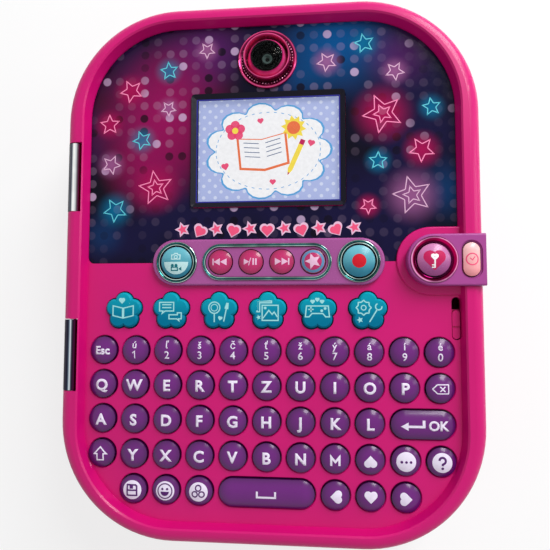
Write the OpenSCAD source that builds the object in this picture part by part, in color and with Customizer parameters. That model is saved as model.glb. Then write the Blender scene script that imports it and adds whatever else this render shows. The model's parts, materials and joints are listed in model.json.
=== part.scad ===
// Electronic secret diary. A rear tray with a compartment carries a front deck with the
// screen, the keys and the camera. The deck opens on two barrels like the cover of a book.
// The origin is the middle of the underside. X runs across, Y up the page, Z out of the front.

/* [Body] */
// Width of the body from side to side
body_w = 165; // [163:1:175]
// Radius of the four corners in plan
corner_r = 46; // [43:1:49]
// Thickness of the outer walls
wall = 2.4; // [2:0.1:2.8]
// Height of the rear tray without its feet
tray_h = 17.8; // [16:0.2:30]
// Thickness of the tray's floor
floor_t = 2.2; // [1.8:0.1:3]
// Radius of the tray's lower edge
tray_edge_r = 5; // [3:0.5:6]
// Gap between the tray and the closed deck
part_gap = 0.4; // [0.3:0.05:0.6]
// Height that the feet stand below the tray
foot_h = 1.2; // [0.8:0.1:2]
// Radius of a foot
foot_r = 5.3; // [4:0.1:7]

/* [Deck] */
// Height of the deck from its underside to the key panel
deck_h = 25.6; // [25.4:0.2:32]
// Thickness of the key panel
panel_t = 2.5; // [2:0.1:2.6]
// Height of the rim above the key panel
rim_rise = 4.5; // [3.8:0.1:5]
// Width of the rim along the sides
rim_side = 8.6; // [8.2:0.1:9]
// Width of the rim along the ends
rim_end = 7.1; // [6.5:0.1:8]
// Radius of the rim's outer edge
rim_edge_r = 4.5; // [3:0.1:5]
// Width of the slope inside the rim
rim_slope = 1.2; // [0.8:0.1:1.6]
// Thickness of the deck's back cover
back_t = 2.4; // [2:0.1:3]

/* [Layout along the page] */
// From the foot of the lower rim to the middle of the lowest keys
key_margin = 12.1; // [11.5:0.1:14]
// Pitch of the key rows
key_pitch_y = 13.575; // [13.2:0.025:14.2]
// From the top key row to the flower buttons
flower_rise = 15.65; // [15.2:0.05:18]
// From the flower buttons to the control bar
bar_rise = 19.3; // [18.8:0.1:22]
// From the control bar to the middle of the screen
screen_rise = 45.9; // [45.5:0.1:50]
// From the middle of the screen to the camera
camera_rise = 37; // [36.6:0.1:40]
// From the camera to the foot of the upper rim
camera_margin = 14.5; // [14:0.1:18]

/* [Keys] */
// Pitch of the key columns
key_pitch_x = 13.2; // [13:0.05:13.3]
// Radius of a round key
key_r = 5.3; // [5:0.05:5.5]
// Gap round a key
key_gap = 0.4; // [0.35:0.01:0.5]
// Height of a key's side above the panel
key_rise = 0.9; // [0.5:0.1:1.5]
// Height of a key's dome
key_dome = 1.5; // [1:0.1:2]
// Travel of every key and button
key_travel = 1.2; // [0.8:0.1:1.3]
// Pitch of the flower buttons
flower_pitch = 19.46; // [18.5:0.02:19.6]
// Radius of a flower's petals
petal_r = 3.5; // [3.2:0.05:3.8]
// Distance of the petals from the middle of the flower
petal_reach = 3.9; // [3.6:0.05:4.1]

/* [Control bar] */
// Length of the control bar
bar_l = 92; // [91:0.5:94]
// Width of the control bar
bar_w = 18.4; // [18:0.1:19.5]
// Height of the control bar
bar_h = 2.2; // [1.8:0.1:3]
// Distance of the photo and record buttons from the middle
side_button_x = 36; // [35.8:0.1:36.4]
// Radius of the photo, record and lock buttons
big_button_r = 6.15; // [5.8:0.05:6.3]
// Pitch of the media buttons
media_pitch = 12.2; // [11.8:0.1:12.4]
// Radius of a media button
media_r = 4.7; // [4.3:0.05:4.9]

/* [Screen and camera] */
// Width of the screen's picture
picture_w = 57.6; // [55:0.1:58]
// Height of the screen's picture
picture_h = 43.2; // [41:0.1:43.5]
// Thickness of the faceplate
faceplate_t = 1.8; // [1.5:0.1:2]
// Radius of the camera's ring
camera_ring_r = 12; // [11.6:0.1:12.2]
// Radius of the camera's ball
ball_r = 8.3; // [8:0.1:8.4]

/* [Clasp and lock] */
// Distance of the lock button from the side of the body
clasp_inset = 18.9; // [18.5:0.1:19.5]
// Radius of the clasp's round end, half its width
clasp_r = 9.8; // [9.5:0.1:10.2]
// Height of the clasp on its collar
clasp_h = 5.3; // [4.5:0.1:6]
// Length of the catch's slot
slot_l = 16.4; // [16:0.1:17]
// Width of the catch's slot
slot_w = 3.6; // [3.4:0.1:4]
// From the clasp down to the middle of the catch's slot
slot_drop = 22.1; // [22:0.1:23]
// Travel of the catch
latch_travel = 4.5; // [4:0.1:4.6]

/* [Hinge] */
// Radius of a barrel
barrel_r = 3.2; // [3:0.05:3.4]
// Length of a barrel
barrel_l = 28; // [24:0.5:32]
// Distance between the middles of the two barrels
barrel_pitch = 72; // [64:1:76]
// Place of the hinge's middle along the page
hinge_mid_y = 1.2; // [0:0.2:3]
// Radius of a hinge pin
pin_r = 1.25; // [1:0.05:1.4]

/* [Batteries] */
// Radius of a cell
cell_r = 7.1; // [6.9:0.05:7.2]
// Length of a cell over its contact
cell_l = 50.5; // [49:0.1:51]

/* [Hidden] */
$fn = 64;

// A little more, so that a cut passes through the face it opens
over = 1;
// How far an added form runs into the wall that carries it
weld = 0.5;
// Colours
pink = [0.85, 0.10, 0.47];
purple = [0.36, 0.16, 0.47];
mauve = [0.62, 0.29, 0.58];
turquoise = [0.0, 0.63, 0.74];
crimson = [0.74, 0.10, 0.38];
pink_chrome = [0.80, 0.16, 0.42];
dark_chrome = [0.25, 0.38, 0.40];
board_green = [0.10, 0.35, 0.20];

// Levels, from the surface the feet stand on
tray_z = foot_h;
tray_top = tray_z + tray_h;
deck_z = tray_top + part_gap;
back_top = deck_z + back_t;
panel_z = deck_z + deck_h;
panel_under = panel_z - panel_t;
rim_z = panel_z + rim_rise;

// Plan of the body: the well is the panel inside the rim
half_w = body_w / 2;
well_l = key_margin + 4 * key_pitch_y + flower_rise + bar_rise + screen_rise + camera_rise + camera_margin;
body_l = well_l + 2 * rim_end;
well_x = half_w - rim_side;
well_y = well_l / 2;
well_r = corner_r - 9;
inner_w = body_w - 2 * wall;
inner_l = body_l - 2 * wall;
inner_r = corner_r - wall;

// Feet
foot_seat = 0.8;
foot_edge = 0.5;
foot_from_side = 26;
foot_from_end = 24;
foot_places = [
    for (sx = [-1, 1], sy = [-1, 1]) [sx * (half_w - foot_from_side), sy * (body_l / 2 - foot_from_end)],
];

// Rows and columns on the panel
function col_x(col) = (col - 5) * key_pitch_x;
function row_y(row) = -well_y + key_margin + (4 - row) * key_pitch_y;
function flower_x(i) = (i - 3) * flower_pitch + 0.4;
flower_y = row_y(0) + flower_rise;
bar_y = flower_y + bar_rise;
screen_y = bar_y + screen_rise;
camera_y = screen_y + camera_rise;
clasp_x = half_w - clasp_inset;

// Columns and rows of the round keys, from the upper left
number_cols = [for (i = [1:10]) [i, 0]];
upper_cols = [for (i = [0:9]) [i, 1]];
middle_cols = [for (i = [0:8]) [i, 2]];
lower_cols = [for (i = [1:7]) [i, 3]];
single_cols = [
    [0, 0], [10, 1], [0, 3], [8, 3], [9, 3], [10, 3],
    [1, 4], [2, 4], [3, 4], [7, 4], [8, 4], [9, 4],
];
round_key_places = [
    for (place = concat(number_cols, upper_cols, middle_cols, lower_cols, single_cols))
        [col_x(place[0]), row_y(place[1])],
];

// Keys: a shank through the panel and a flange under it that keeps the key in
flange_gap = 0.35;
flange_t = 0.8;
flange_w = 0.7;
flange_under = panel_t + flange_gap + flange_t;
hole_bevel = 0.35;
space_half = key_pitch_x;
enter_half = key_pitch_x / 2;

// Flower buttons
flower_rise_t = 1.6;
flower_bevel = 0.7;
flower_gap = key_gap + 0.15;
flower_flange_r = petal_r + petal_reach + 0.5;

// Faceplate and the shelf under it
plate_gap = 0.15;
plate_top = panel_z - 0.5;
plate_z = plate_top - faceplate_t;
shelf_t = 2;
shelf_z = plate_z - shelf_t;
shelf_margin = 2;
plate_corner = 2.5;
plinth_r = bar_w / 2 - 1;
bar_half = (bar_l - bar_w) / 2;
plinth_core = big_button_r + flange_w + 0.65;
collar_r = clasp_r + 3.4;
collar_h = 1;
collar_edge = 0.6;
collar_z = panel_z + collar_h;

// Screen
window_w = picture_w + 5.4;
window_h = picture_h + 4.2;
window_r = 2.5;
window_t = faceplate_t - 0.2;
glass_w = picture_w + 0.8;
glass_h = picture_h + 0.8;
screen_gap = 0.3;
module_w = picture_w + 6.4;
module_h = picture_h + 6.8;

// Camera: a ball on two trunnions in a sleeve
ball_z = panel_z - 1.8;
ball_gap = 0.35;
sleeve_in = ball_r + ball_gap;
sleeve_out = sleeve_in + 1.75;
sleeve_low = ball_z - 3.5;
trunnion_r = 1.4;
trunnion_end = sleeve_in + 1.25;
ball_front = 5.16;
glass_r = sqrt(ball_r * ball_r - ball_front * ball_front) - 0.05;
glass_rise = 1.5;
lens_pocket_r = 5.6;
lens_pocket_z = -2;
lens_r = 3.6;
camera_dish_h = 0.9;
camera_lip_h = 3.6;
camera_bars = 3;
camera_bar_w = 2.4;
camera_bar_l = 0.4;
camera_bar_h = 0.8;
camera_bar_pitch = 0.75;
camera_bar_y = 0.9 - camera_ring_r;

// Control bar
media_xs = [for (i = [0:3]) (i - 1.5) * media_pitch];
button_rise = 2.6;
big_button_dome = 1.3;
media_dome = 1;
lock_dome = 1.7;
bar_edge = 0.9;
bar_top = panel_z + bar_h;
ring_in = big_button_r + key_gap;
ring_w = 1.7;
bezel_in = media_r + 1.15;
bezel_w = 1.4;
bezel_half = 1.5 * media_pitch;

// Clasp
clasp_top = collar_z + clasp_h;
clasp_edge = 0.8;
clasp_fit = 0.15;
skirt_t = 1.5;
skirt_z = deck_z + 4.6;
clasp_ring_r = clasp_r - 1;
clasp_ring_seat = 1.5;
lock_dip = 0.6;
clock_x = half_w - 5.3;
clock_w = 6.1;
clock_l = 12.6;
clock_half = (clock_l - clock_w) / 2;
clock_shank_r = 2.2;
clock_flange_r = 2.5;
clock_lug = 0.8;
clock_dip = 0.8;
clock_dip_w = 1;

// Catch: a finger tab in the slot, a plate under the panel, a leg down into the tray
slot_x = well_x - 1.2;
slot_y = bar_y - slot_drop;
tab_w = slot_w - 0.7;
tab_l = slot_l - latch_travel - 1;
tab_y = slot_y - slot_l / 2 + 0.4 + tab_l / 2;
leg_x = slot_x + 0.8;
leg_t = 2.4;
leg_y = slot_y - 6.2;
leg_l = 5.4;
toe_l = 4.6;
toe_z = tray_top - 4.5;
toe_t = 2;
catch_gap = 0.4;
catch_y = leg_y + leg_l + toe_l + catch_gap;
ledge_l = toe_l + catch_gap + 1.5;
ledge_t = 2;
guide_x = slot_x - 2.4;
guide_w = 5.8;
guide_l = 11;
guide_t = 1.5;
guide_drop = 7.5;
tab_dip = 0.6;
tab_groove = 0.6;
tab_groove_y = slot_y - 3.5;
plunger_r = 2.2;
plunger_l = 20;
plunger_z = back_top + 6;
solenoid_l = 20;
solenoid_w = 12;
solenoid_end_t = 2;
solenoid_base_t = 1.5;
solenoid_y = leg_y - 3.6 - solenoid_l;

// Hinge
hinge_x = -(half_w - barrel_r - 0.1);
hinge_z = rim_z - 3.8;
barrel_ys = [hinge_mid_y - barrel_pitch / 2, hinge_mid_y + barrel_pitch / 2];
notch_x = -(half_w - 2 * barrel_r - 0.5);
notch_l = barrel_l + 0.6;
pocket_t = 1.6;
pin_reach = 4.6;
pin_fit = 0.08;
leaf_t = 2;
leaf_in = -(half_w - leaf_t - 0.1);
leaf_l = barrel_l - 0.4;
leaf_z = tray_top - 10;
pad_t = 3.5;
leaf_screw_z = leaf_z + 5;
leaf_screw_y = 9;
small_screw_r = 1.15;
small_head_r = 2.2;
small_head_t = 1;

// Screws of the back cover and the posts that hold the main board
screw_r = 1.3;
screw_fit = 0.05;
head_r = 2.6;
head_t = 1.5;
screw_l = 11;
boss_r = 3.4;
boss_places = [
    [half_w - 19, -(body_l / 2 - 20.5)],
    [-(half_w - 19), -(body_l / 2 - 20.5)],
    [half_w - 22.5, body_l / 2 - 22.5],
    [-(half_w - 22.5), body_l / 2 - 22.5],
    [26, body_l / 2 - 14.5],
    [-26, body_l / 2 - 14.5],
    [-(half_w - 11), bar_y - 8],
    [half_w - 20.5, bar_y - 16],
];
post_r = 2;
post_places = [
    for (place = [[1.5, 0.5], [8.5, 0.5], [1.5, 2.5], [8.5, 2.5], [2.5, 3.5], [7.5, 3.5]])
        [col_x(place[0]), row_y(place[1])],
];

// Main board and membrane
board_top = panel_z - 6.4;
board_t = 1.6;
membrane_t = 0.6;
dome_t = 0.6;
dome_r = 3.2;
post_gap = 0.5;
membrane_in = 0.6;
clock_switch_in = 1.7;
clock_switch_r = 1.8;
board_in = 9.5;
board_reach = 11;
tail_w = 13;
tail_l = 4;
board_gap = 0.4;
slot_margin = 3;
chip_t = 1.2;
chip_weld = 0.2;
processor_w = 16;
processor_x = -24;
processor_drop = 7;
memory_w = 10;
memory_l = 12;
memory_x = 10;
memory_drop = 5;
plug_w = 14;
plug_l = 8;
plug_t = 5.2;
plug_x = -20;
microphone_x = 50;
microphone_drop = 16;
microphone_r = 3;
microphone_h = 2.8;

// Battery bay in the back cover
door_t = 1.6;
door_lap = 1.5;
door_gap = 0.25;
tongue_l = 9;
cell_pitch = 2 * cell_r + 0.7;
cell_room = 0.3;
plate_t = 0.5;
spring_l = 2.9;
bay_w = 3 * cell_pitch + 2 * cell_r + 2 * cell_room;
bay_l = cell_l + spring_l + 2 * plate_t;
bay_y = screen_y - 0.9;
bay_wall = 1.4;
bay_roof = 1;
cell_z = deck_z + door_t + cell_room + cell_r;
bay_top = cell_z + cell_r + cell_room;
module_gap = 0.3;
module_t = shelf_z - bay_top - bay_roof - module_gap;
nub_r = 2.75;
nub_l = 1.3;
door_screw_y = bay_y - bay_l / 2 - door_lap - tongue_l / 2;
door_boss_r = 3.2;
door_boss_h = 9;
tongue_w = 16;
door_grips = 4;
grip_w = 12;
grip_l = 1.2;
grip_pitch = 2.4;
grip_from_end = 4;
grip_deep = 0.5;
contact_h = 10;
contact_side = 5;
spring_r = 4.5;
spring_tip_r = 2.5;

// Speaker in the back cover
speaker_x = 54;
speaker_y = screen_y - 8;
speaker_r = 16;
speaker_h = 8.5;
speaker_rim_t = 1.4;
speaker_rim_w = 2;
cone_z = 1;
cone_h = 4;
speaker_wall = 1.2;
speaker_wall_h = 3;
speaker_fit = 0.4;
grille_pitch = 4.2;
grille_hole_r = 1.1;

// Rounded rectangle round the origin
module rounded(w, l, r) {
    square([w - 2 * r, l], center = true);
    square([w, l - 2 * r], center = true);
    for (sx = [-1, 1], sy = [-1, 1])
        translate([sx * (w / 2 - r), sy * (l / 2 - r)]) circle(r = r);
}

// Stadium along X: a straight stretch of the given half length between two half circles
module stadium(half, r) {
    square([2 * half, 2 * r], center = true);
    for (side = [-1, 1]) translate([side * half, 0]) circle(r = r);
}

// Sweeps a profile round a rounded rectangle. The profile's x is its distance from the corner's centre.
module edge_sweep(w, l, r) {
    cx = w / 2 - r;
    cy = l / 2 - r;
    for (k = [0:3]) {
        sx = (k == 0 || k == 3) ? 1 : -1;
        sy = k < 2 ? 1 : -1;
        translate([sx * cx, sy * cy]) rotate(90 * k) rotate_extrude(angle = 90) children();
    }
    for (turn = [0, 180])
        rotate(turn) translate([cx, cy]) rotate([90, 0, 0]) linear_extrude(height = 2 * cy) children();
    for (turn = [90, 270])
        rotate(turn) translate([cy, cx]) rotate([90, 0, 0]) linear_extrude(height = 2 * cx) children();
}

// Sweeps a half profile round a stadium along X. The profile's x is its distance from the middle line.
module pill_sweep(half) {
    for (side = [-1, 1])
        translate([side * half, 0]) rotate(-90 * side) rotate_extrude(angle = 180) children();
    translate([-half, 0]) rotate([90, 0, 90]) linear_extrude(height = 2 * half) {
        children();
        mirror([1, 0]) children();
    }
}

// Turns a profile round a circle, or sweeps it round a stadium if half is more than nothing
module turned(half) {
    if (half > 0) pill_sweep(half) children();
    else rotate_extrude() children();
}

// What a rounding leaves outside its arc, for an edge at radius r
module edge_waste(r, edge) {
    difference() {
        translate([r - edge, 0]) square([edge + over, edge + over]);
        translate([r - edge, 0]) circle(r = edge);
    }
}

// Half profile of a block of radius r and height t with a rounded upper edge
module block_profile(r, t, edge) {
    square([r, t - edge]);
    square([r - edge, t]);
    translate([r - edge, t - edge]) circle(r = edge);
}

// Half profile of a shallow dome of radius r and height h
module dome_profile(r, h) {
    ball = (r * r + h * h) / (2 * h);
    intersection() {
        translate([0, h - ball]) circle(r = ball, $fn = 180);
        square([r, h]);
    }
}

// Half profile of a key or button. Its zero is the panel's upper face.
module key_profile(r, rise, dome) {
    translate([0, -flange_under]) square([r + flange_w, flange_t]);
    translate([0, -flange_under]) square([r, flange_under + rise]);
    translate([0, rise]) dome_profile(r, dome);
}

// Half profile of a hole through the panel with a bevelled mouth
module hole_profile(r) {
    polygon([
        [0, -panel_t - over], [r, -panel_t - over], [r, -hole_bevel],
        [r + hole_bevel + over, over], [0, over]
    ]);
}

// Outline of a flower with one petal up, grown all round
module flower_outline(grow) {
    circle(r = petal_reach + grow);
    for (k = [0:4]) rotate(90 + 72 * k) translate([petal_reach, 0]) circle(r = petal_r + grow);
}

// Rear tray

// Catch: a ledge on the right wall that the toe slides under
module tray_catch() {
    reach = half_w - wall + weld - (leg_x - leg_t);
    translate([leg_x - leg_t, catch_y, tray_top - ledge_t]) cube([reach, ledge_l, ledge_t]);
}

module rear_tray() {
    color(pink) difference() {
        union() {
            difference() {
                translate([0, 0, tray_z]) linear_extrude(height = tray_h) rounded(body_w, body_l, corner_r);
                translate([0, 0, tray_z + floor_t]) linear_extrude(height = tray_h)
                    rounded(inner_w, inner_l, inner_r);
                translate([0, 0, tray_z + tray_edge_r]) mirror([0, 0, 1])
                    edge_sweep(body_w, body_l, corner_r) edge_waste(corner_r, tray_edge_r);
            }
            tray_catch();
            for (y = barrel_ys)
                translate([-half_w + wall - weld, y - notch_l / 2, tray_z + floor_t - weld])
                    cube([leaf_in + pad_t + half_w - wall + weld, notch_l, tray_h - floor_t + weld]);
        }
        for (y = barrel_ys) {
            translate([-half_w - over, y - leaf_l / 2 - 0.1, leaf_z - 0.1])
                cube([leaf_in + half_w + over, leaf_l + 0.2, tray_h]);
            for (dy = [-leaf_screw_y, leaf_screw_y])
                translate([leaf_in - over, y + dy, leaf_screw_z]) rotate([0, 90, 0])
                    cylinder(r = small_screw_r + screw_fit, h = pad_t + over - 0.6);
        }
        for (place = foot_places)
            translate([place[0], place[1], tray_z - over]) cylinder(r = foot_r + 0.1, h = over + foot_seat);
    }
}

// Feet pressed into round seats under the tray
module rubber_feet() {
    foot_l = foot_h + foot_seat;
    color("dimgray") for (place = foot_places) translate([place[0], place[1], foot_l])
        mirror([0, 0, 1]) rotate_extrude() block_profile(foot_r, foot_l, foot_edge);
}

// Hinge

module hinge_barrels() {
    color("silver") for (y = barrel_ys) difference() {
        union() {
            translate([hinge_x, y + barrel_l / 2, hinge_z]) rotate([90, 0, 0])
                cylinder(r = barrel_r, h = barrel_l);
            translate([leaf_in - leaf_t, y - leaf_l / 2, leaf_z]) cube([leaf_t, leaf_l, hinge_z - leaf_z]);
        }
        translate([hinge_x, y + barrel_l / 2 + over, hinge_z]) rotate([90, 0, 0])
            cylinder(r = pin_r + 0.02, h = barrel_l + 2 * over);
        for (dy = [-leaf_screw_y, leaf_screw_y]) translate([leaf_in - leaf_t, y + dy, leaf_screw_z])
            rotate([0, 90, 0]) {
                translate([0, 0, -over]) cylinder(r = small_head_r + 0.1, h = over + small_head_t + 0.1);
                translate([0, 0, -over]) cylinder(r = small_screw_r + screw_fit, h = leaf_t + 2 * over);
            }
    }
}

module hinge_pins() {
    color("gray") for (y = barrel_ys)
        translate([hinge_x, y + barrel_l / 2 + pin_reach, hinge_z]) rotate([90, 0, 0])
            cylinder(r = pin_r, h = barrel_l + 2 * pin_reach);
}

module hinge_screws() {
    color("silver") for (y = barrel_ys, dy = [-leaf_screw_y, leaf_screw_y])
        translate([leaf_in - leaf_t + 0.1, y + dy, leaf_screw_z]) rotate([0, 90, 0]) {
            cylinder(r = small_head_r, h = small_head_t);
            cylinder(r = small_screw_r, h = leaf_t + pad_t - 1);
        }
}

// Deck housing

module slope_profile() {
    lip = 0.6;
    polygon([
        [well_r - over, 0], [well_r, 0], [well_r + rim_slope, rim_rise - lip],
        [well_r + rim_slope + lip + over, rim_rise + over], [well_r - over, rim_rise + over]
    ]);
}

// Outer form of the deck: block, well inside the rim, rounded outer edge
module deck_block() {
    difference() {
        translate([0, 0, deck_z]) linear_extrude(height = rim_z - deck_z) rounded(body_w, body_l, corner_r);
        translate([0, 0, panel_z]) linear_extrude(height = rim_rise + over)
            rounded(2 * well_x - over, 2 * well_y - over, well_r - over / 2);
        translate([0, 0, panel_z]) edge_sweep(2 * well_x, 2 * well_y, well_r) slope_profile();
        translate([0, 0, rim_z - rim_edge_r])
            edge_sweep(body_w, body_l, corner_r) edge_waste(corner_r, rim_edge_r);
    }
}

// Room inside the deck. Its roof steps down where the shelf carries the faceplate.
module deck_cavity() {
    difference() {
        translate([0, 0, deck_z - over]) linear_extrude(height = panel_under - deck_z + over)
            rounded(inner_w, inner_l, inner_r);
        translate([0, 0, shelf_z]) linear_extrude(height = panel_z - shelf_z) difference() {
            translate([-half_w, bar_y - shelf_margin]) square([body_w, body_l / 2]);
            translate([0, bar_y]) stadium(bar_half, plinth_core);
            translate([clasp_x + half_w / 2, bar_y]) stadium(half_w / 2, clasp_r - 0.8);
        }
    }
}

// Round screw bosses and board posts that hang from the panel
module deck_bosses() {
    for (place = boss_places)
        translate([place[0], place[1], back_top]) cylinder(r = boss_r, h = panel_z - 2 * weld - back_top);
    for (place = post_places)
        translate([place[0], place[1], board_top]) cylinder(r = post_r, h = panel_z - 2 * weld - board_top);
}

// Low collar under the clasp, round at its left end
module clasp_collar() {
    translate([clasp_x, bar_y, panel_z - 1]) {
        rotate(90) rotate_extrude(angle = 180) block_profile(collar_r, collar_h + 1, collar_edge);
        rotate([90, 0, 90]) linear_extrude(height = clasp_inset - rim_edge_r) {
            block_profile(collar_r, collar_h + 1, collar_edge);
            mirror([1, 0]) block_profile(collar_r, collar_h + 1, collar_edge);
        }
    }
}

// Walls round the two notches of the hinge, and the backing of the clasp's skirt
module deck_pockets() {
    for (y = barrel_ys)
        translate([-half_w + wall / 2, y - notch_l / 2 - pocket_t, deck_z]) cube([
            notch_x + pocket_t + half_w - wall / 2, notch_l + 2 * pocket_t, panel_z - 2 * weld - deck_z
        ]);
    backing_top = panel_z - flange_under - key_travel - 0.4;
    translate([half_w - wall - skirt_t, bar_y - clasp_r - 1.5, back_top + 0.5])
        cube([skirt_t + wall / 2, 2 * clasp_r + 3, backing_top - back_top - 0.5]);
}

module key_holes() {
    for (place = round_key_places)
        translate([place[0], place[1], panel_z]) rotate_extrude() hole_profile(key_r + key_gap);
    translate([col_x(9.5), row_y(2), panel_z]) turned(enter_half) hole_profile(key_r + key_gap);
    translate([col_x(5), row_y(4), panel_z]) turned(space_half) hole_profile(key_r + key_gap);
}

module button_holes() {
    for (i = [0:5]) translate([flower_x(i), flower_y, panel_under - over])
        linear_extrude(height = panel_t + 2 * over) flower_outline(flower_gap);
    for (x = [-side_button_x, side_button_x])
        translate([x, bar_y, panel_under - over])
            cylinder(r = big_button_r + key_gap, h = panel_t + 2 * over);
    for (x = media_xs)
        translate([x, bar_y, panel_under - over]) cylinder(r = media_r + key_gap, h = panel_t + 2 * over);
    translate([clasp_x, bar_y, panel_under - over])
        cylinder(r = big_button_r + key_gap, h = panel_t + collar_h + 2 * over);
    translate([clock_x, bar_y, panel_under - over]) rotate(90)
        linear_extrude(height = panel_t + collar_h + 2 * over) stadium(clock_half, clock_shank_r + key_gap);
}

// Plan of the faceplate, drawn in all round by a gap
module faceplate_outline(gap) {
    difference() {
        intersection() {
            rounded(2 * (well_x - gap), 2 * (well_y - gap), well_r - gap);
            translate([-well_x, bar_y + gap]) square([2 * well_x, well_y]);
        }
        translate([0, bar_y]) stadium(bar_half, plinth_r + gap);
        translate([clasp_x + half_w / 2, bar_y]) stadium(half_w / 2, collar_r + gap);
        translate([-well_x + gap, bar_y + gap]) difference() {
            translate([-over, -over]) square(plate_corner + over);
            translate([plate_corner, plate_corner]) circle(r = plate_corner);
        }
    }
}

// Seat of the clasp: the rim is cut away over the collar, and a recess runs down the side
module clasp_seat() {
    translate([well_x - 2, bar_y - clasp_r - clasp_fit, collar_z])
        cube([rim_side + 2 + over, 2 * (clasp_r + clasp_fit), rim_rise]);
    translate([half_w - skirt_t, bar_y - clasp_r - clasp_fit, skirt_z - clasp_fit])
        cube([skirt_t + over, 2 * (clasp_r + clasp_fit), collar_z - skirt_z + over]);
}

module hinge_notches() {
    for (y = barrel_ys) {
        translate([-half_w - over, y - notch_l / 2, deck_z - over])
            cube([notch_x + half_w + over, notch_l, rim_z - deck_z + 2 * over]);
        translate([hinge_x, y + barrel_l / 2 + pin_reach + 0.4, hinge_z]) rotate([90, 0, 0])
            cylinder(r = pin_r + pin_fit, h = barrel_l + 2 * pin_reach + 0.8);
    }
}

module deck_housing() {
    color(pink) difference() {
        union() {
            difference() {
                deck_block();
                deck_cavity();
            }
            deck_bosses();
            clasp_collar();
            deck_pockets();
        }
        key_holes();
        button_holes();
        translate([0, 0, plate_z]) linear_extrude(height = panel_z - plate_z + over) faceplate_outline(0);
        translate([0, screen_y, shelf_z - over]) linear_extrude(height = shelf_t + 2 * over)
            rounded(glass_w + 2 * screen_gap, glass_h + 2 * screen_gap, 1);
        translate([0, camera_y, shelf_z - over]) cylinder(r = sleeve_out + 0.3, h = shelf_t + 2 * over);
        translate([slot_x, slot_y, panel_under - over]) rotate(90)
            linear_extrude(height = panel_t + rim_rise + 2 * over) stadium((slot_l - slot_w) / 2, slot_w / 2);
        clasp_seat();
        hinge_notches();
        for (place = boss_places)
            translate([place[0], place[1], back_top - over])
                cylinder(r = screw_r + screw_fit, h = screw_l + over);
    }
}

// Deck back and batteries

module back_outline() {
    fit = 0.2;
    difference() {
        rounded(inner_w - 2 * fit, inner_l - 2 * fit, inner_r - fit);
        for (y = barrel_ys)
            translate([-half_w, y - notch_l / 2 - pocket_t - fit])
                square([notch_x + pocket_t + fit + half_w, notch_l + 2 * (pocket_t + fit)]);
    }
}

module door_outline(gap) {
    w = bay_w + 2 * door_lap - 2 * gap;
    translate([-w / 2, bay_y - bay_l / 2 - door_lap + gap]) square([w, bay_l + 2 * door_lap - 2 * gap]);
    translate([-tongue_w / 2 + gap, door_screw_y - tongue_l / 2 + gap])
        square([tongue_w - 2 * gap, tongue_l + door_lap + 1]);
}

module speaker_grille() {
    for (ix = [-2:2], iy = [-2:2])
        if (ix * ix + iy * iy < 8)
            translate([speaker_x + ix * grille_pitch, speaker_y + iy * grille_pitch, deck_z - over])
                cylinder(r = grille_hole_r, h = back_t + 2 * over);
}

module deck_back() {
    color(pink) difference() {
        union() {
            translate([0, 0, deck_z]) linear_extrude(height = back_t) back_outline();
            translate([-bay_w / 2 - bay_wall, bay_y - bay_l / 2 - bay_wall, deck_z])
                cube([bay_w + 2 * bay_wall, bay_l + 2 * bay_wall, bay_top + bay_roof - deck_z]);
            translate([0, door_screw_y, deck_z]) cylinder(r = door_boss_r, h = back_t + door_boss_h);
            for (place = post_places)
                translate([place[0], place[1], deck_z])
                    cylinder(r = post_r, h = board_top - board_t - deck_z);
            translate([speaker_x, speaker_y, deck_z]) difference() {
                cylinder(r = speaker_r + speaker_fit + speaker_wall, h = back_t + speaker_wall_h);
                translate([0, 0, back_t]) cylinder(r = speaker_r + speaker_fit, h = speaker_wall_h + over);
            }
        }
        translate([-bay_w / 2, bay_y - bay_l / 2, deck_z - over])
            cube([bay_w, bay_l, bay_top - deck_z + over]);
        translate([0, 0, deck_z - over]) linear_extrude(height = door_t + over) door_outline(0);
        translate([0, door_screw_y, deck_z]) cylinder(r = screw_r + screw_fit, h = screw_l);
        speaker_grille();
        for (place = boss_places) translate([place[0], place[1], deck_z - over]) {
            cylinder(r = head_r + 0.1, h = over + head_t + 0.1);
            cylinder(r = screw_r + 0.2, h = back_t + 2 * over);
        }
        translate([leg_x - leg_t / 2 - 0.4, leg_y - 0.4, deck_z - over])
            cube([leg_t + 0.8, leg_l + 0.8 + max(latch_travel, toe_l), back_t + 2 * over]);
    }
}

module battery_door() {
    color(pink) difference() {
        translate([0, 0, deck_z]) linear_extrude(height = door_t) door_outline(door_gap);
        translate([0, door_screw_y, deck_z - over]) {
            cylinder(r = head_r + 0.1, h = over + door_t / 2);
            cylinder(r = screw_r + 0.2, h = door_t + 2 * over);
        }
        for (i = [0:door_grips - 1])
            translate([-grip_w / 2, bay_y + bay_l / 2 - grip_from_end - grip_pitch * i, deck_z - over])
                cube([grip_w, grip_l, over + grip_deep]);
    }
}

// One screw pointing up, its head's underside at the origin
module case_screw(head) {
    translate([0, 0, -head]) cylinder(r = head_r, h = head);
    cylinder(r = screw_r, h = screw_l - 2);
}

module case_screws() {
    color("gray") {
        for (place = boss_places) translate([place[0], place[1], deck_z + head_t + 0.1]) case_screw(head_t);
        translate([0, door_screw_y, deck_z + door_t / 2]) case_screw(door_t / 2);
    }
}

module battery_cells() {
    color("darkgoldenrod") for (i = [0:3]) {
        turn = i % 2 == 0 ? -90 : 90;
        back = bay_l / 2 - plate_t - spring_l;
        translate([(i - 1.5) * cell_pitch, bay_y, cell_z]) rotate([turn, 0, 0]) translate([0, 0, -back]) {
            cylinder(r = cell_r, h = cell_l - nub_l);
            cylinder(r = nub_r, h = cell_l);
        }
    }
}

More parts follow.
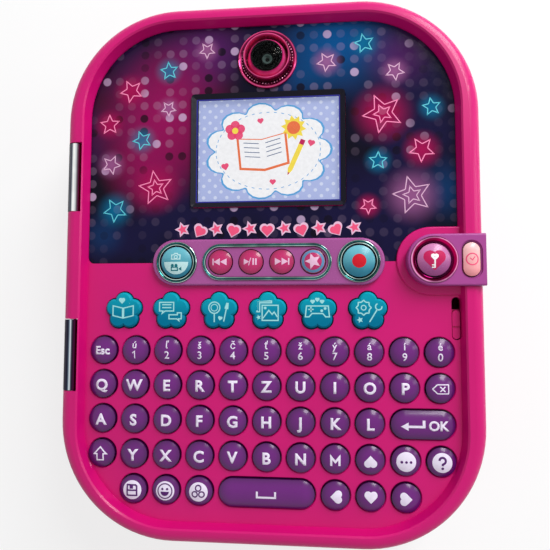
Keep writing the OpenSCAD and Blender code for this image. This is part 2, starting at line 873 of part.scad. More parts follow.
// Contact plates at both ends of the cells, with a cone for each contact spring
module battery_contacts() {
    color("silver") for (end = [0, 180]) translate([0, bay_y, cell_z]) rotate(end) {
        for (i = [0:1])
            translate([(2 * i - 1.5) * cell_pitch - contact_side, bay_l / 2 - plate_t, -contact_h / 2])
                cube([cell_pitch + 2 * contact_side, plate_t, contact_h]);
        for (i = [0:1]) translate([(2 * i - 1.5) * cell_pitch, -bay_l / 2, 0]) rotate([-90, 0, 0])
            cylinder(r1 = spring_r, r2 = spring_tip_r, h = plate_t + spring_l);
    }
}

// Electronics

module board_outline(inset) {
    difference() {
        union() {
            intersection() {
                rounded(
                    body_w - 2 * (board_in + inset), body_l - 2 * (board_in + inset),
                    corner_r - board_in - inset
                );
                translate([-half_w, -body_l / 2]) square([body_w, body_l / 2 + bar_y + board_reach - inset]);
            }
            translate([clasp_x - tail_l, bar_y - tail_w / 2 + inset])
                square([half_w - wall - skirt_t - board_gap - inset - clasp_x + tail_l, tail_w - 2 * inset]);
        }
        for (place = boss_places) translate(place) circle(r = boss_r + 0.6 + inset);
        translate([leg_x - 4.5 - inset, slot_y - slot_l / 2 - slot_margin])
            square([half_w - leg_x + 4.5, slot_l + 2 * slot_margin]);
    }
}

module main_board() {
    under = board_top - board_t + chip_weld;
    color(board_green) union() {
        translate([0, 0, board_top - board_t]) linear_extrude(height = board_t) board_outline(0);
        translate([processor_x, row_y(1) - processor_drop, under - chip_t])
            cube([processor_w, processor_w, chip_t]);
        translate([memory_x, row_y(1) - memory_drop, under - chip_t]) cube([memory_w, memory_l, chip_t]);
        translate([plug_x, row_y(3) - plug_l / 2, under - plug_t]) cube([plug_w, plug_l, plug_t]);
        translate([microphone_x, bar_y - microphone_drop, under - microphone_h])
            cylinder(r = microphone_r, h = microphone_h);
    }
}

// Places under the keys and buttons. The clock button has a small switch of its own, drawn in from the side.
function switch_places() = concat(
    round_key_places,
    [for (x = media_xs) [x, bar_y]],
    [for (i = [0:5]) [flower_x(i), flower_y]],
    [[-side_button_x, bar_y], [side_button_x, bar_y], [clasp_x, bar_y],
        [col_x(9.5), row_y(2)], [col_x(5), row_y(4)]]);

module switch_dome(x, y, r) {
    translate([x, y, board_top + membrane_t - 0.1]) cylinder(r1 = r, r2 = r - 0.5, h = dome_t + 0.1);
}

module key_membrane() {
    color("lightgray") union() {
        translate([0, 0, board_top]) linear_extrude(height = membrane_t) difference() {
            board_outline(membrane_in);
            for (place = post_places) translate(place) circle(r = post_r + post_gap);
        }
        for (place = switch_places()) switch_dome(place[0], place[1], dome_r);
        switch_dome(clock_x - clock_switch_in, bar_y, clock_switch_r);
    }
}

module speaker() {
    color("dimgray") translate([speaker_x, speaker_y, back_top]) rotate_extrude() union() {
        difference() {
            square([speaker_r, speaker_rim_t]);
            square([speaker_r - speaker_rim_w, cone_z]);
        }
        translate([0, cone_z])
            polygon([[0, 0], [speaker_r - speaker_rim_w - 1, 0], [speaker_r / 2, cone_h], [0, cone_h]]);
        translate([0, cone_z + cone_h - 0.1]) square([speaker_r / 2, speaker_h - cone_z - cone_h + 0.1]);
    }
}

module lock_solenoid() {
    color("silver") difference() {
        union() {
            for (y = [solenoid_y, solenoid_y + solenoid_l - solenoid_end_t])
                translate([leg_x - solenoid_w / 2, y, back_top])
                    cube([solenoid_w, solenoid_end_t, solenoid_w]);
            translate([leg_x - solenoid_w / 2, solenoid_y, back_top])
                cube([solenoid_w, solenoid_l, solenoid_base_t]);
            translate([leg_x, solenoid_y + solenoid_end_t / 2, plunger_z]) rotate([-90, 0, 0])
                cylinder(r = solenoid_w / 2 - 1, h = solenoid_l - solenoid_end_t);
        }
        translate([leg_x, solenoid_y - over, plunger_z]) rotate([-90, 0, 0])
            cylinder(r = plunger_r + 0.4, h = solenoid_l + 2 * over);
    }
}

module display_module() {
    color("silver") union() {
        translate([-module_w / 2, screen_y - module_h / 2, shelf_z - module_t])
            cube([module_w, module_h, module_t]);
        translate([-glass_w / 2, screen_y - glass_h / 2, shelf_z - over])
            cube([glass_w, glass_h, shelf_t + over - screen_gap]);
    }
}

module display_window() {
    color([0.6, 0.7, 0.8, 0.4]) translate([0, screen_y, plate_z]) linear_extrude(height = window_t)
        rounded(window_w - 2 * plate_gap, window_h - 2 * plate_gap, window_r - plate_gap);
}

module faceplate() {
    color([0.12, 0.09, 0.22]) translate([0, 0, plate_z]) linear_extrude(height = faceplate_t) difference() {
        faceplate_outline(plate_gap);
        translate([0, screen_y]) rounded(window_w, window_h, window_r);
        translate([0, camera_y]) circle(r = sleeve_out + 0.3);
    }
}

// Control bar

module control_bar() {
    color(mauve) difference() {
        translate([0, bar_y, panel_z]) pill_sweep(bar_half) block_profile(bar_w / 2, bar_h, bar_edge);
        for (x = [-side_button_x, side_button_x])
            translate([x, bar_y, panel_z - over]) cylinder(r = big_button_r + key_gap, h = bar_h + 2 * over);
        for (x = media_xs)
            translate([x, bar_y, panel_z - over]) cylinder(r = media_r + key_gap, h = bar_h + 2 * over);
    }
}

// Half profile of a ring with two beads
module two_bead_profile(inside, width) {
    bead = 0.42;
    translate([inside, 0]) square([width, 0.35]);
    translate([inside + bead, 0.35]) circle(r = bead);
    translate([inside + width - bead, 0.35]) circle(r = bead);
}

// The beads' lower halves are cut off at the bar's face
module bead_ring(half, inside, width) {
    difference() {
        turned(half) difference() {
            two_bead_profile(inside, width);
            translate([0, -over]) square([inside + width + over, over]);
        }
    }
}

module button_rings() {
    color(dark_chrome) for (x = [-side_button_x, side_button_x])
        translate([x, bar_y, bar_top]) bead_ring(0, ring_in, ring_w);
}

module media_bezel() {
    color(dark_chrome) translate([0, bar_y, bar_top]) bead_ring(bezel_half, bezel_in, bezel_w);
}

// Clasp

module clasp_housing() {
    color(mauve) difference() {
        union() {
            translate([clasp_x, bar_y, collar_z]) {
                rotate(90) rotate_extrude(angle = 180) block_profile(clasp_r, clasp_h, clasp_edge);
                rotate([90, 0, 90]) linear_extrude(height = clasp_inset) {
                    block_profile(clasp_r, clasp_h, clasp_edge);
                    mirror([1, 0]) block_profile(clasp_r, clasp_h, clasp_edge);
                }
            }
            translate([half_w - skirt_t + 0.1, bar_y - clasp_r, skirt_z])
                cube([skirt_t - 0.1, 2 * clasp_r, collar_z + 1 - skirt_z]);
        }
        translate([clasp_x, bar_y, collar_z - over])
            cylinder(r = big_button_r + key_gap, h = clasp_h + 2 * over);
        translate([clasp_x, bar_y, clasp_top - clasp_ring_seat])
            cylinder(r = clasp_ring_r, h = clasp_ring_seat + over);
        translate([clock_x, bar_y, collar_z - over]) rotate(90) linear_extrude(height = clasp_h + 2 * over)
            stadium(clock_half, clock_w / 2 + key_gap);
        translate([clock_x, bar_y, clasp_top - clock_dip]) rotate(90)
            linear_extrude(height = clock_dip + over) stadium(clock_half, clock_w / 2 + clock_dip_w);
    }
}

// Funnel ring round the lock button
module clasp_ring() {
    inside = big_button_r + key_gap;
    outside = clasp_ring_r - 0.05;
    color(pink_chrome) translate([clasp_x, bar_y, clasp_top - clasp_ring_seat]) rotate_extrude() polygon([
        [inside, 0], [outside, 0], [outside, clasp_ring_seat + 0.3], [outside - 0.3, clasp_ring_seat + 0.6],
        [outside - 0.7, clasp_ring_seat + 0.6], [inside + 0.4, 0.7], [inside, 0.5]
    ]);
}

// Camera

module camera_ring() {
    dish = plate_top + camera_dish_h;
    lip_z = panel_z + camera_lip_h;
    color(pink_chrome) translate([0, camera_y]) difference() {
        union() {
            rotate_extrude() polygon([
                [sleeve_in, sleeve_low], [sleeve_out, sleeve_low], [sleeve_out, plate_top],
                [camera_ring_r, plate_top], [camera_ring_r, dish + 0.1], [camera_ring_r - 0.4, dish + 0.5],
                [camera_ring_r - 0.8, dish + 0.4], [sleeve_in + 1.2, dish], [sleeve_in + 0.9, lip_z - 0.6],
                [sleeve_in + 0.6, lip_z], [sleeve_in + 0.2, lip_z], [sleeve_in, lip_z - 0.3]
            ]);
            for (i = [0:camera_bars - 1])
                translate([-camera_bar_w / 2, camera_bar_y + camera_bar_pitch * i, dish - 0.3])
                    cube([camera_bar_w, camera_bar_l, camera_bar_h]);
        }
        for (side = [-90, 90]) translate([0, 0, ball_z]) rotate([0, side, 0]) translate([0, 0, ball_r - over])
            cylinder(r = trunnion_r + 0.06, h = trunnion_end + 0.2 - ball_r + over);
    }
}

module camera_ball() {
    color(pink_chrome) translate([0, camera_y, ball_z]) difference() {
        union() {
            difference() {
                sphere(r = ball_r);
                translate([0, 0, ball_front + ball_r]) cube(2 * ball_r, center = true);
            }
            for (side = [-90, 90]) rotate([0, side, 0]) translate([0, 0, ball_r - 1])
                cylinder(r = trunnion_r, h = trunnion_end - ball_r + 1);
        }
        translate([0, 0, lens_pocket_z]) cylinder(r = lens_pocket_r, h = ball_r - lens_pocket_z);
    }
}

module camera_glass() {
    color([0.08, 0.08, 0.10]) translate([0, camera_y, ball_z + ball_front]) rotate_extrude()
        dome_profile(glass_r, glass_rise);
}

module camera_lens() {
    color("dimgray") translate([0, camera_y, ball_z + lens_pocket_z]) rotate_extrude() polygon([
        [0, 0], [lens_r, 0], [lens_r, 2], [lens_r - 1.2, 2.6], [lens_r - 1.2, 4.2],
        [lens_r - 2.1, 4.2], [lens_r - 2.7, 3.4], [0, 3.4]
    ]);
}

// Catch

module latch_slider() {
    plate_low = panel_under - flange_gap - guide_t;
    color(pink) difference() {
        union() {
            translate([slot_x, tab_y, plate_low]) rotate(90)
                linear_extrude(height = panel_z - tab_dip - plate_low)
                    stadium((tab_l - tab_w) / 2, tab_w / 2);
            translate([guide_x, slot_y - guide_drop, plate_low]) cube([guide_w, guide_l, guide_t]);
            translate([leg_x - leg_t / 2, leg_y, toe_z]) cube([leg_t, leg_l, plate_low + 1 - toe_z]);
            translate([leg_x - leg_t / 2, leg_y, toe_z]) cube([leg_t, leg_l + toe_l, toe_t]);
            translate([leg_x, leg_y + 1, plunger_z]) rotate([90, 0, 0])
                cylinder(r = plunger_r, h = plunger_l + 1);
        }
        translate([slot_x - tab_w, tab_groove_y, panel_z - tab_dip - weld])
            cube([2 * tab_w, tab_groove, over + weld]);
    }
}

// Buttons and keys

module key_at(col, row, half = 0) {
    color(purple) translate([col_x(col), row_y(row), panel_z]) turned(half)
        key_profile(key_r, key_rise, key_dome);
}

module keys_at(places) {
    for (place = places) key_at(place[0], place[1]);
}

module round_button(x, r, rise, dome, tint) {
    color(tint) translate([x, bar_y, panel_z]) rotate_extrude() key_profile(r, rise, dome);
}

module big_button(x) {
    round_button(x, big_button_r, button_rise, big_button_dome, turquoise);
}

module media_button(i, tint) {
    round_button(media_xs[i], media_r, button_rise, media_dome, tint);
}

// A wide cap on a narrow shank, with a lug at each end under the panel
module clock_button() {
    cap_z = collar_h + key_travel + 0.3;
    cap_t = clasp_top - panel_z - 0.2 - cap_z;
    color([0.96, 0.62, 0.62]) translate([clock_x, bar_y, panel_z]) rotate(90) union() {
        translate([0, 0, -flange_under]) linear_extrude(height = flange_t)
            stadium(clock_half + clock_lug, clock_flange_r);
        translate([0, 0, -flange_under]) linear_extrude(height = flange_under + cap_z + 1)
            stadium(clock_half, clock_shank_r);
        translate([0, 0, cap_z]) pill_sweep(clock_half) union() {
            square([clock_w / 2, cap_t]);
            translate([0, cap_t]) dome_profile(clock_w / 2, 0.9);
        }
    }
}

module flower_button(i) {
    color(turquoise) translate([flower_x(i), flower_y, panel_z]) {
        translate([0, 0, -flange_under]) cylinder(r = flower_flange_r, h = flange_t);
        translate([0, 0, -flange_under]) linear_extrude(height = flange_under + flower_rise_t - flower_bevel)
            flower_outline(0);
        translate([0, 0, flower_rise_t - flower_bevel]) {
            cylinder(r1 = petal_reach, r2 = petal_reach, h = flower_bevel);
            for (k = [0:4]) rotate(90 + 72 * k) translate([petal_reach, 0])
                cylinder(r1 = petal_r, r2 = petal_r - flower_bevel, h = flower_bevel);
        }
    }
}

rear_tray();
rubber_feet();
hinge_barrels();
hinge_pins();
hinge_screws();
deck_housing();
deck_back();
battery_door();
case_screws();
battery_cells();
battery_contacts();
main_board();
key_membrane();
speaker();
lock_solenoid();
display_module();
display_window();
faceplate();
control_bar();
button_rings();
media_bezel();
clasp_housing();
clasp_ring();
camera_ring();
camera_ball();
camera_glass();
camera_lens();
latch_slider();
big_button(-side_button_x);  // photo_button
media_button(0, crimson);  // previous_button
media_button(1, crimson);  // play_button
media_button(2, crimson);  // next_button
media_button(3, turquoise);  // star_button
big_button(side_button_x);  // record_button
round_button(clasp_x, big_button_r, clasp_top - panel_z - lock_dip, lock_dome, mauve);  // lock_button
clock_button();
flower_button(0);  // flower_button_1
flower_button(1);  // flower_button_2
flower_button(2);  // flower_button_3
flower_button(3);  // flower_button_4
flower_button(4);  // flower_button_5
flower_button(5);  // flower_button_6
key_at(0, 0);  // escape_key
key_at(10, 1);  // backspace_key
key_at(9.5, 2, enter_half);  // enter_key
key_at(0, 3);  // shift_key
key_at(8, 3);  // up_key
key_at(9, 3);  // dots_key
key_at(10, 3);  // help_key
key_at(1, 4);  // save_key
key_at(2, 4);  // smile_key
key_at(3, 4);  // symbols_key
key_at(5, 4, space_half);  // space_key
key_at(7, 4);  // left_key
key_at(8, 4);  // down_key
key_at(9, 4);  // right_key
keys_at(number_cols);  // number_keys
keys_at(upper_cols);  // upper_letter_keys
keys_at(middle_cols);  // middle_letter_keys
keys_at(lower_cols);  // lower_letter_keys
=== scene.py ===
"""Looks of the electronic secret diary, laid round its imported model.

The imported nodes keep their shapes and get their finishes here. What is printed, inlaid or
lettered on them is modelled here too, and so are the floor, the lamps and the camera.
"""

import json
import logging
import math
from collections.abc import Iterator, Sequence
from contextlib import contextmanager
from dataclasses import dataclass, field
from enum import Enum
from typing import Protocol

import bmesh
import bpy
from mathutils import Euler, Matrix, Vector

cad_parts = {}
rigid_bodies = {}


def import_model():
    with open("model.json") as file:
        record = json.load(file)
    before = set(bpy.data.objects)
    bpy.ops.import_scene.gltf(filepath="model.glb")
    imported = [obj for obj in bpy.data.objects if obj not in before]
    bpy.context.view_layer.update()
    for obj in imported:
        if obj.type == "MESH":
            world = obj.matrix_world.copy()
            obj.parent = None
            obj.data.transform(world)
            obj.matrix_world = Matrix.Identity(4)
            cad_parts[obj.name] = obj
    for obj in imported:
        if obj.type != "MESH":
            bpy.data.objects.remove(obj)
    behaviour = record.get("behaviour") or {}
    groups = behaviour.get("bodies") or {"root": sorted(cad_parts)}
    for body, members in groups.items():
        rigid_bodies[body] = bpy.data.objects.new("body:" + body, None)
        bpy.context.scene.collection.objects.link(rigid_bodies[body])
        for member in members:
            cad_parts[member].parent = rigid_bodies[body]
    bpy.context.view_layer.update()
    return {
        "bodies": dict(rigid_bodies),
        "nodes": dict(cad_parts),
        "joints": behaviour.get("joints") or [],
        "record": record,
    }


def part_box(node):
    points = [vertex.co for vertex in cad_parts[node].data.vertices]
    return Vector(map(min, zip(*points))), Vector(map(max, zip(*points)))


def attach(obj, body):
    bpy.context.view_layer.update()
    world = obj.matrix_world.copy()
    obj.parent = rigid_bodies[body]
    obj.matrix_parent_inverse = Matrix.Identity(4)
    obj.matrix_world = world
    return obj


LOG = logging.getLogger("secret_diary")
MM = 0.001
# Between these lie most values of a noise texture
NOISE_LOW, NOISE_HIGH = 0.3, 0.7
# Grains in a metre of a moulded or drawn skin
FINE_GRAIN = 900.0
# The shader's socket for the strength of its gloss
SPECULAR = "Specular IOR Level"

Colour = tuple[float, float, float]
Point = tuple[float, float]
Triple = tuple[float, float, float]
Stops = tuple[tuple[float, Colour], ...]
Piece = bpy.types.Object
Material = bpy.types.Material
Socket = bpy.types.NodeSocket
BLACK: Colour = (0.0, 0.0, 0.0)


def tint(red: int, green: int, blue: int) -> Colour:
    """Turns a colour as a display shows it into the linear one that a shader takes.

    Args:
        red: Red from 0 to 255.
        green: Green from 0 to 255.
        blue: Blue from 0 to 255.

    Returns:
        The linear colour.
    """

    def linear(value: int) -> float:
        """Undoes the display's curve for one channel."""
        share = value / 255
        return share / 12.92 if share <= 0.04045 else ((share + 0.055) / 1.055) ** 2.4

    return linear(red), linear(green), linear(blue)


class Ink(Enum):
    """Colours of the prints."""

    LAVENDER = tint(236, 226, 246)
    WHITE = tint(250, 248, 252)
    PURPLE = tint(84, 30, 104)
    CRIMSON = tint(196, 34, 92)
    DEEP_TEAL = tint(10, 110, 122)
    AQUA = tint(160, 222, 224)
    MIST = tint(190, 226, 228)
    BLUSH = tint(232, 188, 216)
    RED = tint(208, 26, 44)
    ROSE = tint(240, 86, 128)
    NEON_PINK = tint(255, 142, 190)
    NEON_TEAL = tint(96, 204, 220)
    NEON_LILAC = tint(222, 176, 208)
    STEEL_BLUE = tint(96, 138, 176)
    NIGHT = tint(12, 10, 26)
    SKY = tint(92, 168, 226)
    SUN = tint(252, 226, 84)
    ORANGE = tint(240, 120, 74)
    PAPER = tint(252, 252, 255)
    SLATE = tint(64, 92, 138)
    INDIGO = tint(44, 44, 140)


class Recipe:
    """Node tree of one finish, grown round its Principled shader."""

    def __init__(self, name: str) -> None:
        """Starts a material with its shader and its Object coordinates.

        Args:
            name: Name of the material.
        """
        self.material = bpy.data.materials.new(name)
        self.material.use_nodes = True
        self.tree = self.material.node_tree
        self.skin = self.tree.nodes["Principled BSDF"]
        self.place = self.node("ShaderNodeTexCoord").outputs["Object"]

    def node(self, kind: str, **settings: object) -> bpy.types.Node:
        """Adds a node and sets its options.

        Args:
            kind: Blender's name of the node.
            **settings: Options of the node by name.

        Returns:
            The new node.
        """
        made = self.tree.nodes.new(kind)
        for key, value in settings.items():
            setattr(made, key, value)
        return made

    def feed(self, socket: Socket, source: object) -> None:
        """Links a socket to another, or sets its value where the source is one."""
        if isinstance(source, bpy.types.NodeSocket):
            self.tree.links.new(source, socket)
        else:
            socket.default_value = source

    def math(self, operation: str, first: object, second: object = 0.0) -> Socket:
        """Joins two values by one arithmetic step.

        Args:
            operation: Name of the step, such as MULTIPLY.
            first: Socket or number.
            second: Socket or number.

        Returns:
            The socket with the result.
        """
        made = self.node("ShaderNodeMath", operation=operation)
        self.feed(made.inputs[0], first)
        self.feed(made.inputs[1], second)
        return made.outputs[0]

    def vector(self, operation: str, first: object, second: object = (0, 0, 0)) -> bpy.types.Node:
        """Adds a vector step, whose node is returned for its outputs."""
        made = self.node("ShaderNodeVectorMath", operation=operation)
        self.feed(made.inputs[0], first)
        self.feed(made.inputs[1], second)
        return made

    def span(self, source: Socket, low: float, high: float, to_low: float, to_high: float,
             smooth: bool = False) -> Socket:
        """Carries a value from one span to another, held at its ends.

        Args:
            source: Value to carry.
            low: Start of the span that it comes from.
            high: End of that span.
            to_low: Value at the start.
            to_high: Value at the end.
            smooth: Whether the way between is an S curve.

        Returns:
            The socket with the result.
        """
        kind = "SMOOTHSTEP" if smooth else "LINEAR"
        made = self.node("ShaderNodeMapRange", interpolation_type=kind)
        for key, value in enumerate((source, low, high, to_low, to_high)):
            self.feed(made.inputs[key], value)
        return made.outputs[0]

    def drift(self, noise: Socket, low: float, high: float) -> Socket:
        """Spreads the usual values of a noise from low to high."""
        return self.span(noise, NOISE_LOW, NOISE_HIGH, low, high)

    def haze(self, roughness: float) -> Socket:
        """Roughness of a polished skin, in soft patches."""
        return self.drift(self.noise(350, 3), roughness * 0.6, roughness * 1.5)

    def noise(self, scale: float, detail: float = 3.0, stretch: Triple = (1, 1, 1)) -> Socket:
        """Soft random clouds in Object coordinates.

        Args:
            scale: Clouds in a metre.
            detail: Number of finer layers.
            stretch: Factors on the three axes.

        Returns:
            A socket with values about a half.
        """
        made = self.node("ShaderNodeTexNoise")
        self.feed(made.inputs["Vector"], self.vector("MULTIPLY", self.place, stretch).outputs[0])
        made.inputs["Scale"].default_value = scale
        made.inputs["Detail"].default_value = detail
        return made.outputs["Fac"]

    def mix(self, share: object, first: object, second: object) -> Socket:
        """Blends two colours.

        Args:
            share: How much of the second colour shows.
            first: Socket or colour.
            second: Socket or colour.

        Returns:
            The socket with the blended colour.
        """
        made = self.node("ShaderNodeMix", data_type="RGBA")
        self.feed(made.inputs[0], share)
        for socket, colour in ((made.inputs[6], first), (made.inputs[7], second)):
            self.feed(socket, colour if isinstance(colour, bpy.types.NodeSocket) else (*colour, 1))
        return made.outputs[2]

    def ramp(self, source: Socket, stops: Sequence[tuple[float, Colour]], style: str) -> Socket:
        """Turns a value into colours.

        Args:
            source: Value from 0 to 1.
            stops: Values and the colours there.
            style: Blender's name of the way between them.

        Returns:
            The socket with the colour.
        """
        made = self.node("ShaderNodeValToRGB")
        elements = made.color_ramp.elements
        made.color_ramp.interpolation = style
        while len(elements) < len(stops):
            elements.new(1.0)
        for element, (place, colour) in zip(elements, stops):
            element.position = place
            element.color = (*colour, 1)
        self.feed(made.inputs[0], source)
        return made.outputs[0]

    def steps(self, source: Socket, stops: Sequence[Point]) -> Socket:
        """Turns a value into flat steps, each from its stop to the next."""
        return self.ramp(source, [(place, (value, value, value)) for place, value in stops], "CONSTANT")

    def bands(self, source: Socket, stops: Stops) -> Socket:
        """Turns a distance into bands of colour that run into each other.

        Args:
            source: Distance in metres.
            stops: Distances in millimetres and the colours there.

        Returns:
            The socket with the colour.
        """
        low, high = stops[0][0], stops[-1][0]
        shares = [((place - low) / (high - low), colour) for place, colour in stops]
        return self.ramp(self.span(source, low * MM, high * MM, 0.0, 1.0), shares, "LINEAR")

    def along(self, axis: int) -> Socket:
        """Place along one axis in metres."""
        split = self.node("ShaderNodeSeparateXYZ")
        self.feed(split.inputs[0], self.place)
        return split.outputs[axis]

    def away(self, across: Socket, middle_y: float) -> Socket:
        """Distance in plan, from the share of it along X and from the middle's place along Y."""
        up = self.math("SUBTRACT", self.along(1), middle_y)
        square = self.math("ADD", self.math("MULTIPLY", across, across), self.math("MULTIPLY", up, up))
        return self.math("SQRT", square)

    def from_cell(self, scaled: Socket) -> Socket:
        """Distance from the middle of the square cell that a place lies in."""
        part = self.vector("FRACTION", scaled).outputs[0]
        offset = self.vector("SUBTRACT", part, (0.5, 0.5, 0)).outputs[0]
        return self.vector("LENGTH", offset).outputs["Value"]

    def bump(self, source: Socket, depth: float) -> None:
        """Raises the skin by a value.

        Args:
            source: Value from 0 to 1.
            depth: Height of a full step in metres.
        """
        made = self.node("ShaderNodeBump")
        made.inputs["Strength"].default_value = 1.0
        made.inputs["Distance"].default_value = depth
        self.feed(made.inputs["Height"], source)
        self.feed(self.skin.inputs["Normal"], made.outputs["Normal"])

    def paint(self, colour: object, roughness: object) -> None:
        """Gives the shader its colour and its roughness."""
        self.feed(self.skin.inputs["Base Color"], colour)
        self.feed(self.skin.inputs["Roughness"], roughness)

    def fix(self, values: dict[str, float]) -> None:
        """Sets constants on the shader's own sockets, by their names."""
        for name, value in values.items():
            self.skin.inputs[name].default_value = value

    def light_up(self, shade: Socket, glow: float, roughness: object) -> None:
        """Paints a skin that gives off part of its colour as light.

        Args:
            shade: Its colour.
            glow: The part that it gives off.
            roughness: Socket or number.
        """
        self.paint(self.mix(glow, shade, BLACK), roughness)
        self.feed(self.skin.inputs["Emission Color"], shade)
        self.fix({"Emission Strength": glow})

    def blend(self, share: Socket, first: Socket, second: Socket) -> None:
        """Makes the surface a blend of two shaders.

        Args:
            share: How much of the second shows.
            first: First shader.
            second: Second shader.
        """
        made = self.node("ShaderNodeMixShader")
        for socket, source in zip(made.inputs, (share, first, second)):
            self.feed(socket, source)
        self.feed(self.tree.nodes["Material Output"].inputs["Surface"], made.outputs[0])


class Finish(Protocol):
    """What every finish has: a name, and a way to make its material."""

    name: str

    def make(self) -> Material:
        """Builds the material."""


@dataclass(frozen=True)
class MouldedPlastic:
    """Glossy moulded plastic, with clouds of pigment, a faint orange-peel skin and a painted shade that deepens it
    towards one end.
    """

    name: str
    colour: Colour
    # Deeper colour of the pigment clouds, and of the painted shade at the foot
    deep: Colour
    roughness: float = 0.26
    specular: float = 0.3
    coat: float = 0.08
    # Span of the painted shade along the axis: lighter at the head, darker at the foot
    foot: float = 0.0
    head: float = 0.0
    axis: int = 2
    clouds: float = 22.0
    mottle: float = 0.22
    # Share of the deep colour that the painted shade gives the foot
    fall: float = 0.8
    peel: float = 0.0009 * MM

    def make(self) -> Material:
        """Builds the plastic, with painted shade that turns it deeper in colour from its head to its foot along the
        axis.
        """
        recipe = Recipe(self.name)
        share = recipe.drift(recipe.noise(self.clouds, 4), 0.0, self.mottle)
        # Painted shade, added on top of the pigment clouds
        if self.head > self.foot:
            fall = recipe.span(recipe.along(self.axis), self.foot, self.head, self.fall, 0.0, smooth=True)
            share = recipe.math("ADD", share, fall)
        grain = recipe.noise(FINE_GRAIN, 2)
        recipe.paint(recipe.mix(share, self.colour, self.deep),
                     recipe.drift(grain, self.roughness - 0.02, self.roughness + 0.03))
        recipe.bump(grain, self.peel)
        recipe.fix({SPECULAR: self.specular, "Coat Weight": self.coat, "Coat Roughness": 0.07})
        return recipe.material


@dataclass(frozen=True)
class PlatedPlastic:
    """Chromed plastic with painted glints: patches of two colours, a bright one and a dark one."""

    name: str
    crest: Colour
    groove: Colour
    clouds: float
    roughness: float = 0.12

    def make(self) -> Material:
        """Builds the plated finish."""
        recipe = Recipe(self.name)
        # Painted glints: random patches of the bright colour and the dark one
        share = recipe.span(recipe.noise(self.clouds, 2), 0.4, 0.6, 0.0, 1.0)
        recipe.fix({"Metallic": 1.0})
        recipe.paint(recipe.mix(share, self.crest, self.groove), recipe.haze(self.roughness))
        return recipe.material


@dataclass(frozen=True)
class BandedPlate:
    """Plated skin with painted reflection: the bright and dark bands that a curved mirror shows across it."""

    name: str
    stops: Stops
    centre: Point = (0.0, 0.0)
    half: float = 0.0
    roughness: float = 0.12
    # Share of the brightness that the patches of painted shadow take away
    dim: float = 0.5
    metal: float = 1.0
    shadow: Colour = (0.004, 0.004, 0.008)

    def make(self) -> Material:
        """Builds the banded finish, with dimmer patches of painted shadow."""
        recipe = Recipe(self.name)
        patches = recipe.span(recipe.noise(120, 2), 0.45, 0.62, 1.0, 1.0 - self.dim)
        recipe.paint(recipe.mix(patches, self.shadow, self.shade(recipe)), recipe.haze(self.roughness))
        recipe.fix({"Metallic": self.metal, SPECULAR: 0.2})
        return recipe.material

    def shade(self, recipe: Recipe) -> Socket:
        """Lays the bands of painted reflection by the distance from a middle line.

        Args:
            recipe: Tree that is being built.

        Returns:
            The socket with the colour of the bands.
        """
        across = recipe.math("ABSOLUTE", recipe.math("SUBTRACT", recipe.along(0), self.centre[0]))
        across = recipe.math("MAXIMUM", recipe.math("SUBTRACT", across, self.half), 0.0)
        return recipe.bands(recipe.away(across, self.centre[1]), self.stops)


@dataclass(frozen=True)
class TwinPlate(BandedPlate):
    """Painted reflection bands on two like rings, each half away from their middle along X."""

    def shade(self, recipe: Recipe) -> Socket:
        """Lays the bands of painted reflection round the middle of the nearer ring."""
        side = recipe.math("ABSOLUTE", recipe.math("SUBTRACT", recipe.along(0), self.centre[0]))
        across = recipe.math("SUBTRACT", side, self.half)
        return recipe.bands(recipe.away(across, self.centre[1]), self.stops)


@dataclass(frozen=True)
class BarrelPlate(BandedPlate):
    """Painted reflection bands along X on the crowns of the two hinge barrels, and plain chrome on their leaves."""

    lower: Stops = ()
    parting: float = 0.0
    crown: float = 46.0 * MM
    plain: Colour = tint(196, 198, 206)

    def shade(self, recipe: Recipe) -> Socket:
        """Lays one set of painted reflection bands above the parting and the other below it.

        Args:
            recipe: Tree that is being built.

        Returns:
            The socket with the colour of the bands, or of plain chrome under the crown.
        """
        across = recipe.along(0)
        above = recipe.span(recipe.along(1), self.parting - MM, self.parting + MM, 0.0, 1.0)
        crowned = recipe.span(recipe.along(2), self.crown - MM, self.crown + MM, 0.0, 1.0)
        bands = recipe.mix(above, recipe.bands(across, self.lower), recipe.bands(across, self.stops))
        return recipe.mix(crowned, self.plain, bands)


@dataclass(frozen=True)
class BareMetal:
    """Drawn or stamped metal with fine lines along X."""

    name: str
    colour: Colour
    roughness: float = 0.3
    stretch: Triple = (1, 12, 1)

    def make(self) -> Material:
        """Builds the bare metal."""
        recipe = Recipe(self.name)
        lines = recipe.noise(FINE_GRAIN, 3, self.stretch)
        worn = tuple(0.7 * part for part in self.colour)
        recipe.paint(recipe.mix(recipe.drift(lines, 0.0, 0.35), self.colour, worn),
                     recipe.drift(lines, self.roughness - 0.08, self.roughness + 0.12))
        recipe.fix({"Metallic": 1.0})
        recipe.bump(lines, 0.01 * MM)
        return recipe.material


@dataclass(frozen=True)
class DullStuff:
    """Rubber, silicone and other dull stuff with a grain."""

    name: str
    colour: Colour
    speck: Colour
    grain: float = 1200.0
    roughness: float = 0.75
    depth: float = 0.03 * MM

    def make(self) -> Material:
        """Builds the dull finish."""
        recipe = Recipe(self.name)
        grain = recipe.noise(self.grain, 4)
        recipe.paint(recipe.mix(recipe.span(grain, 0.35, 0.65, 0, 0.6), self.colour, self.speck),
                     recipe.drift(grain, self.roughness - 0.1, self.roughness + 0.1))
        recipe.bump(grain, self.depth)
        return recipe.material


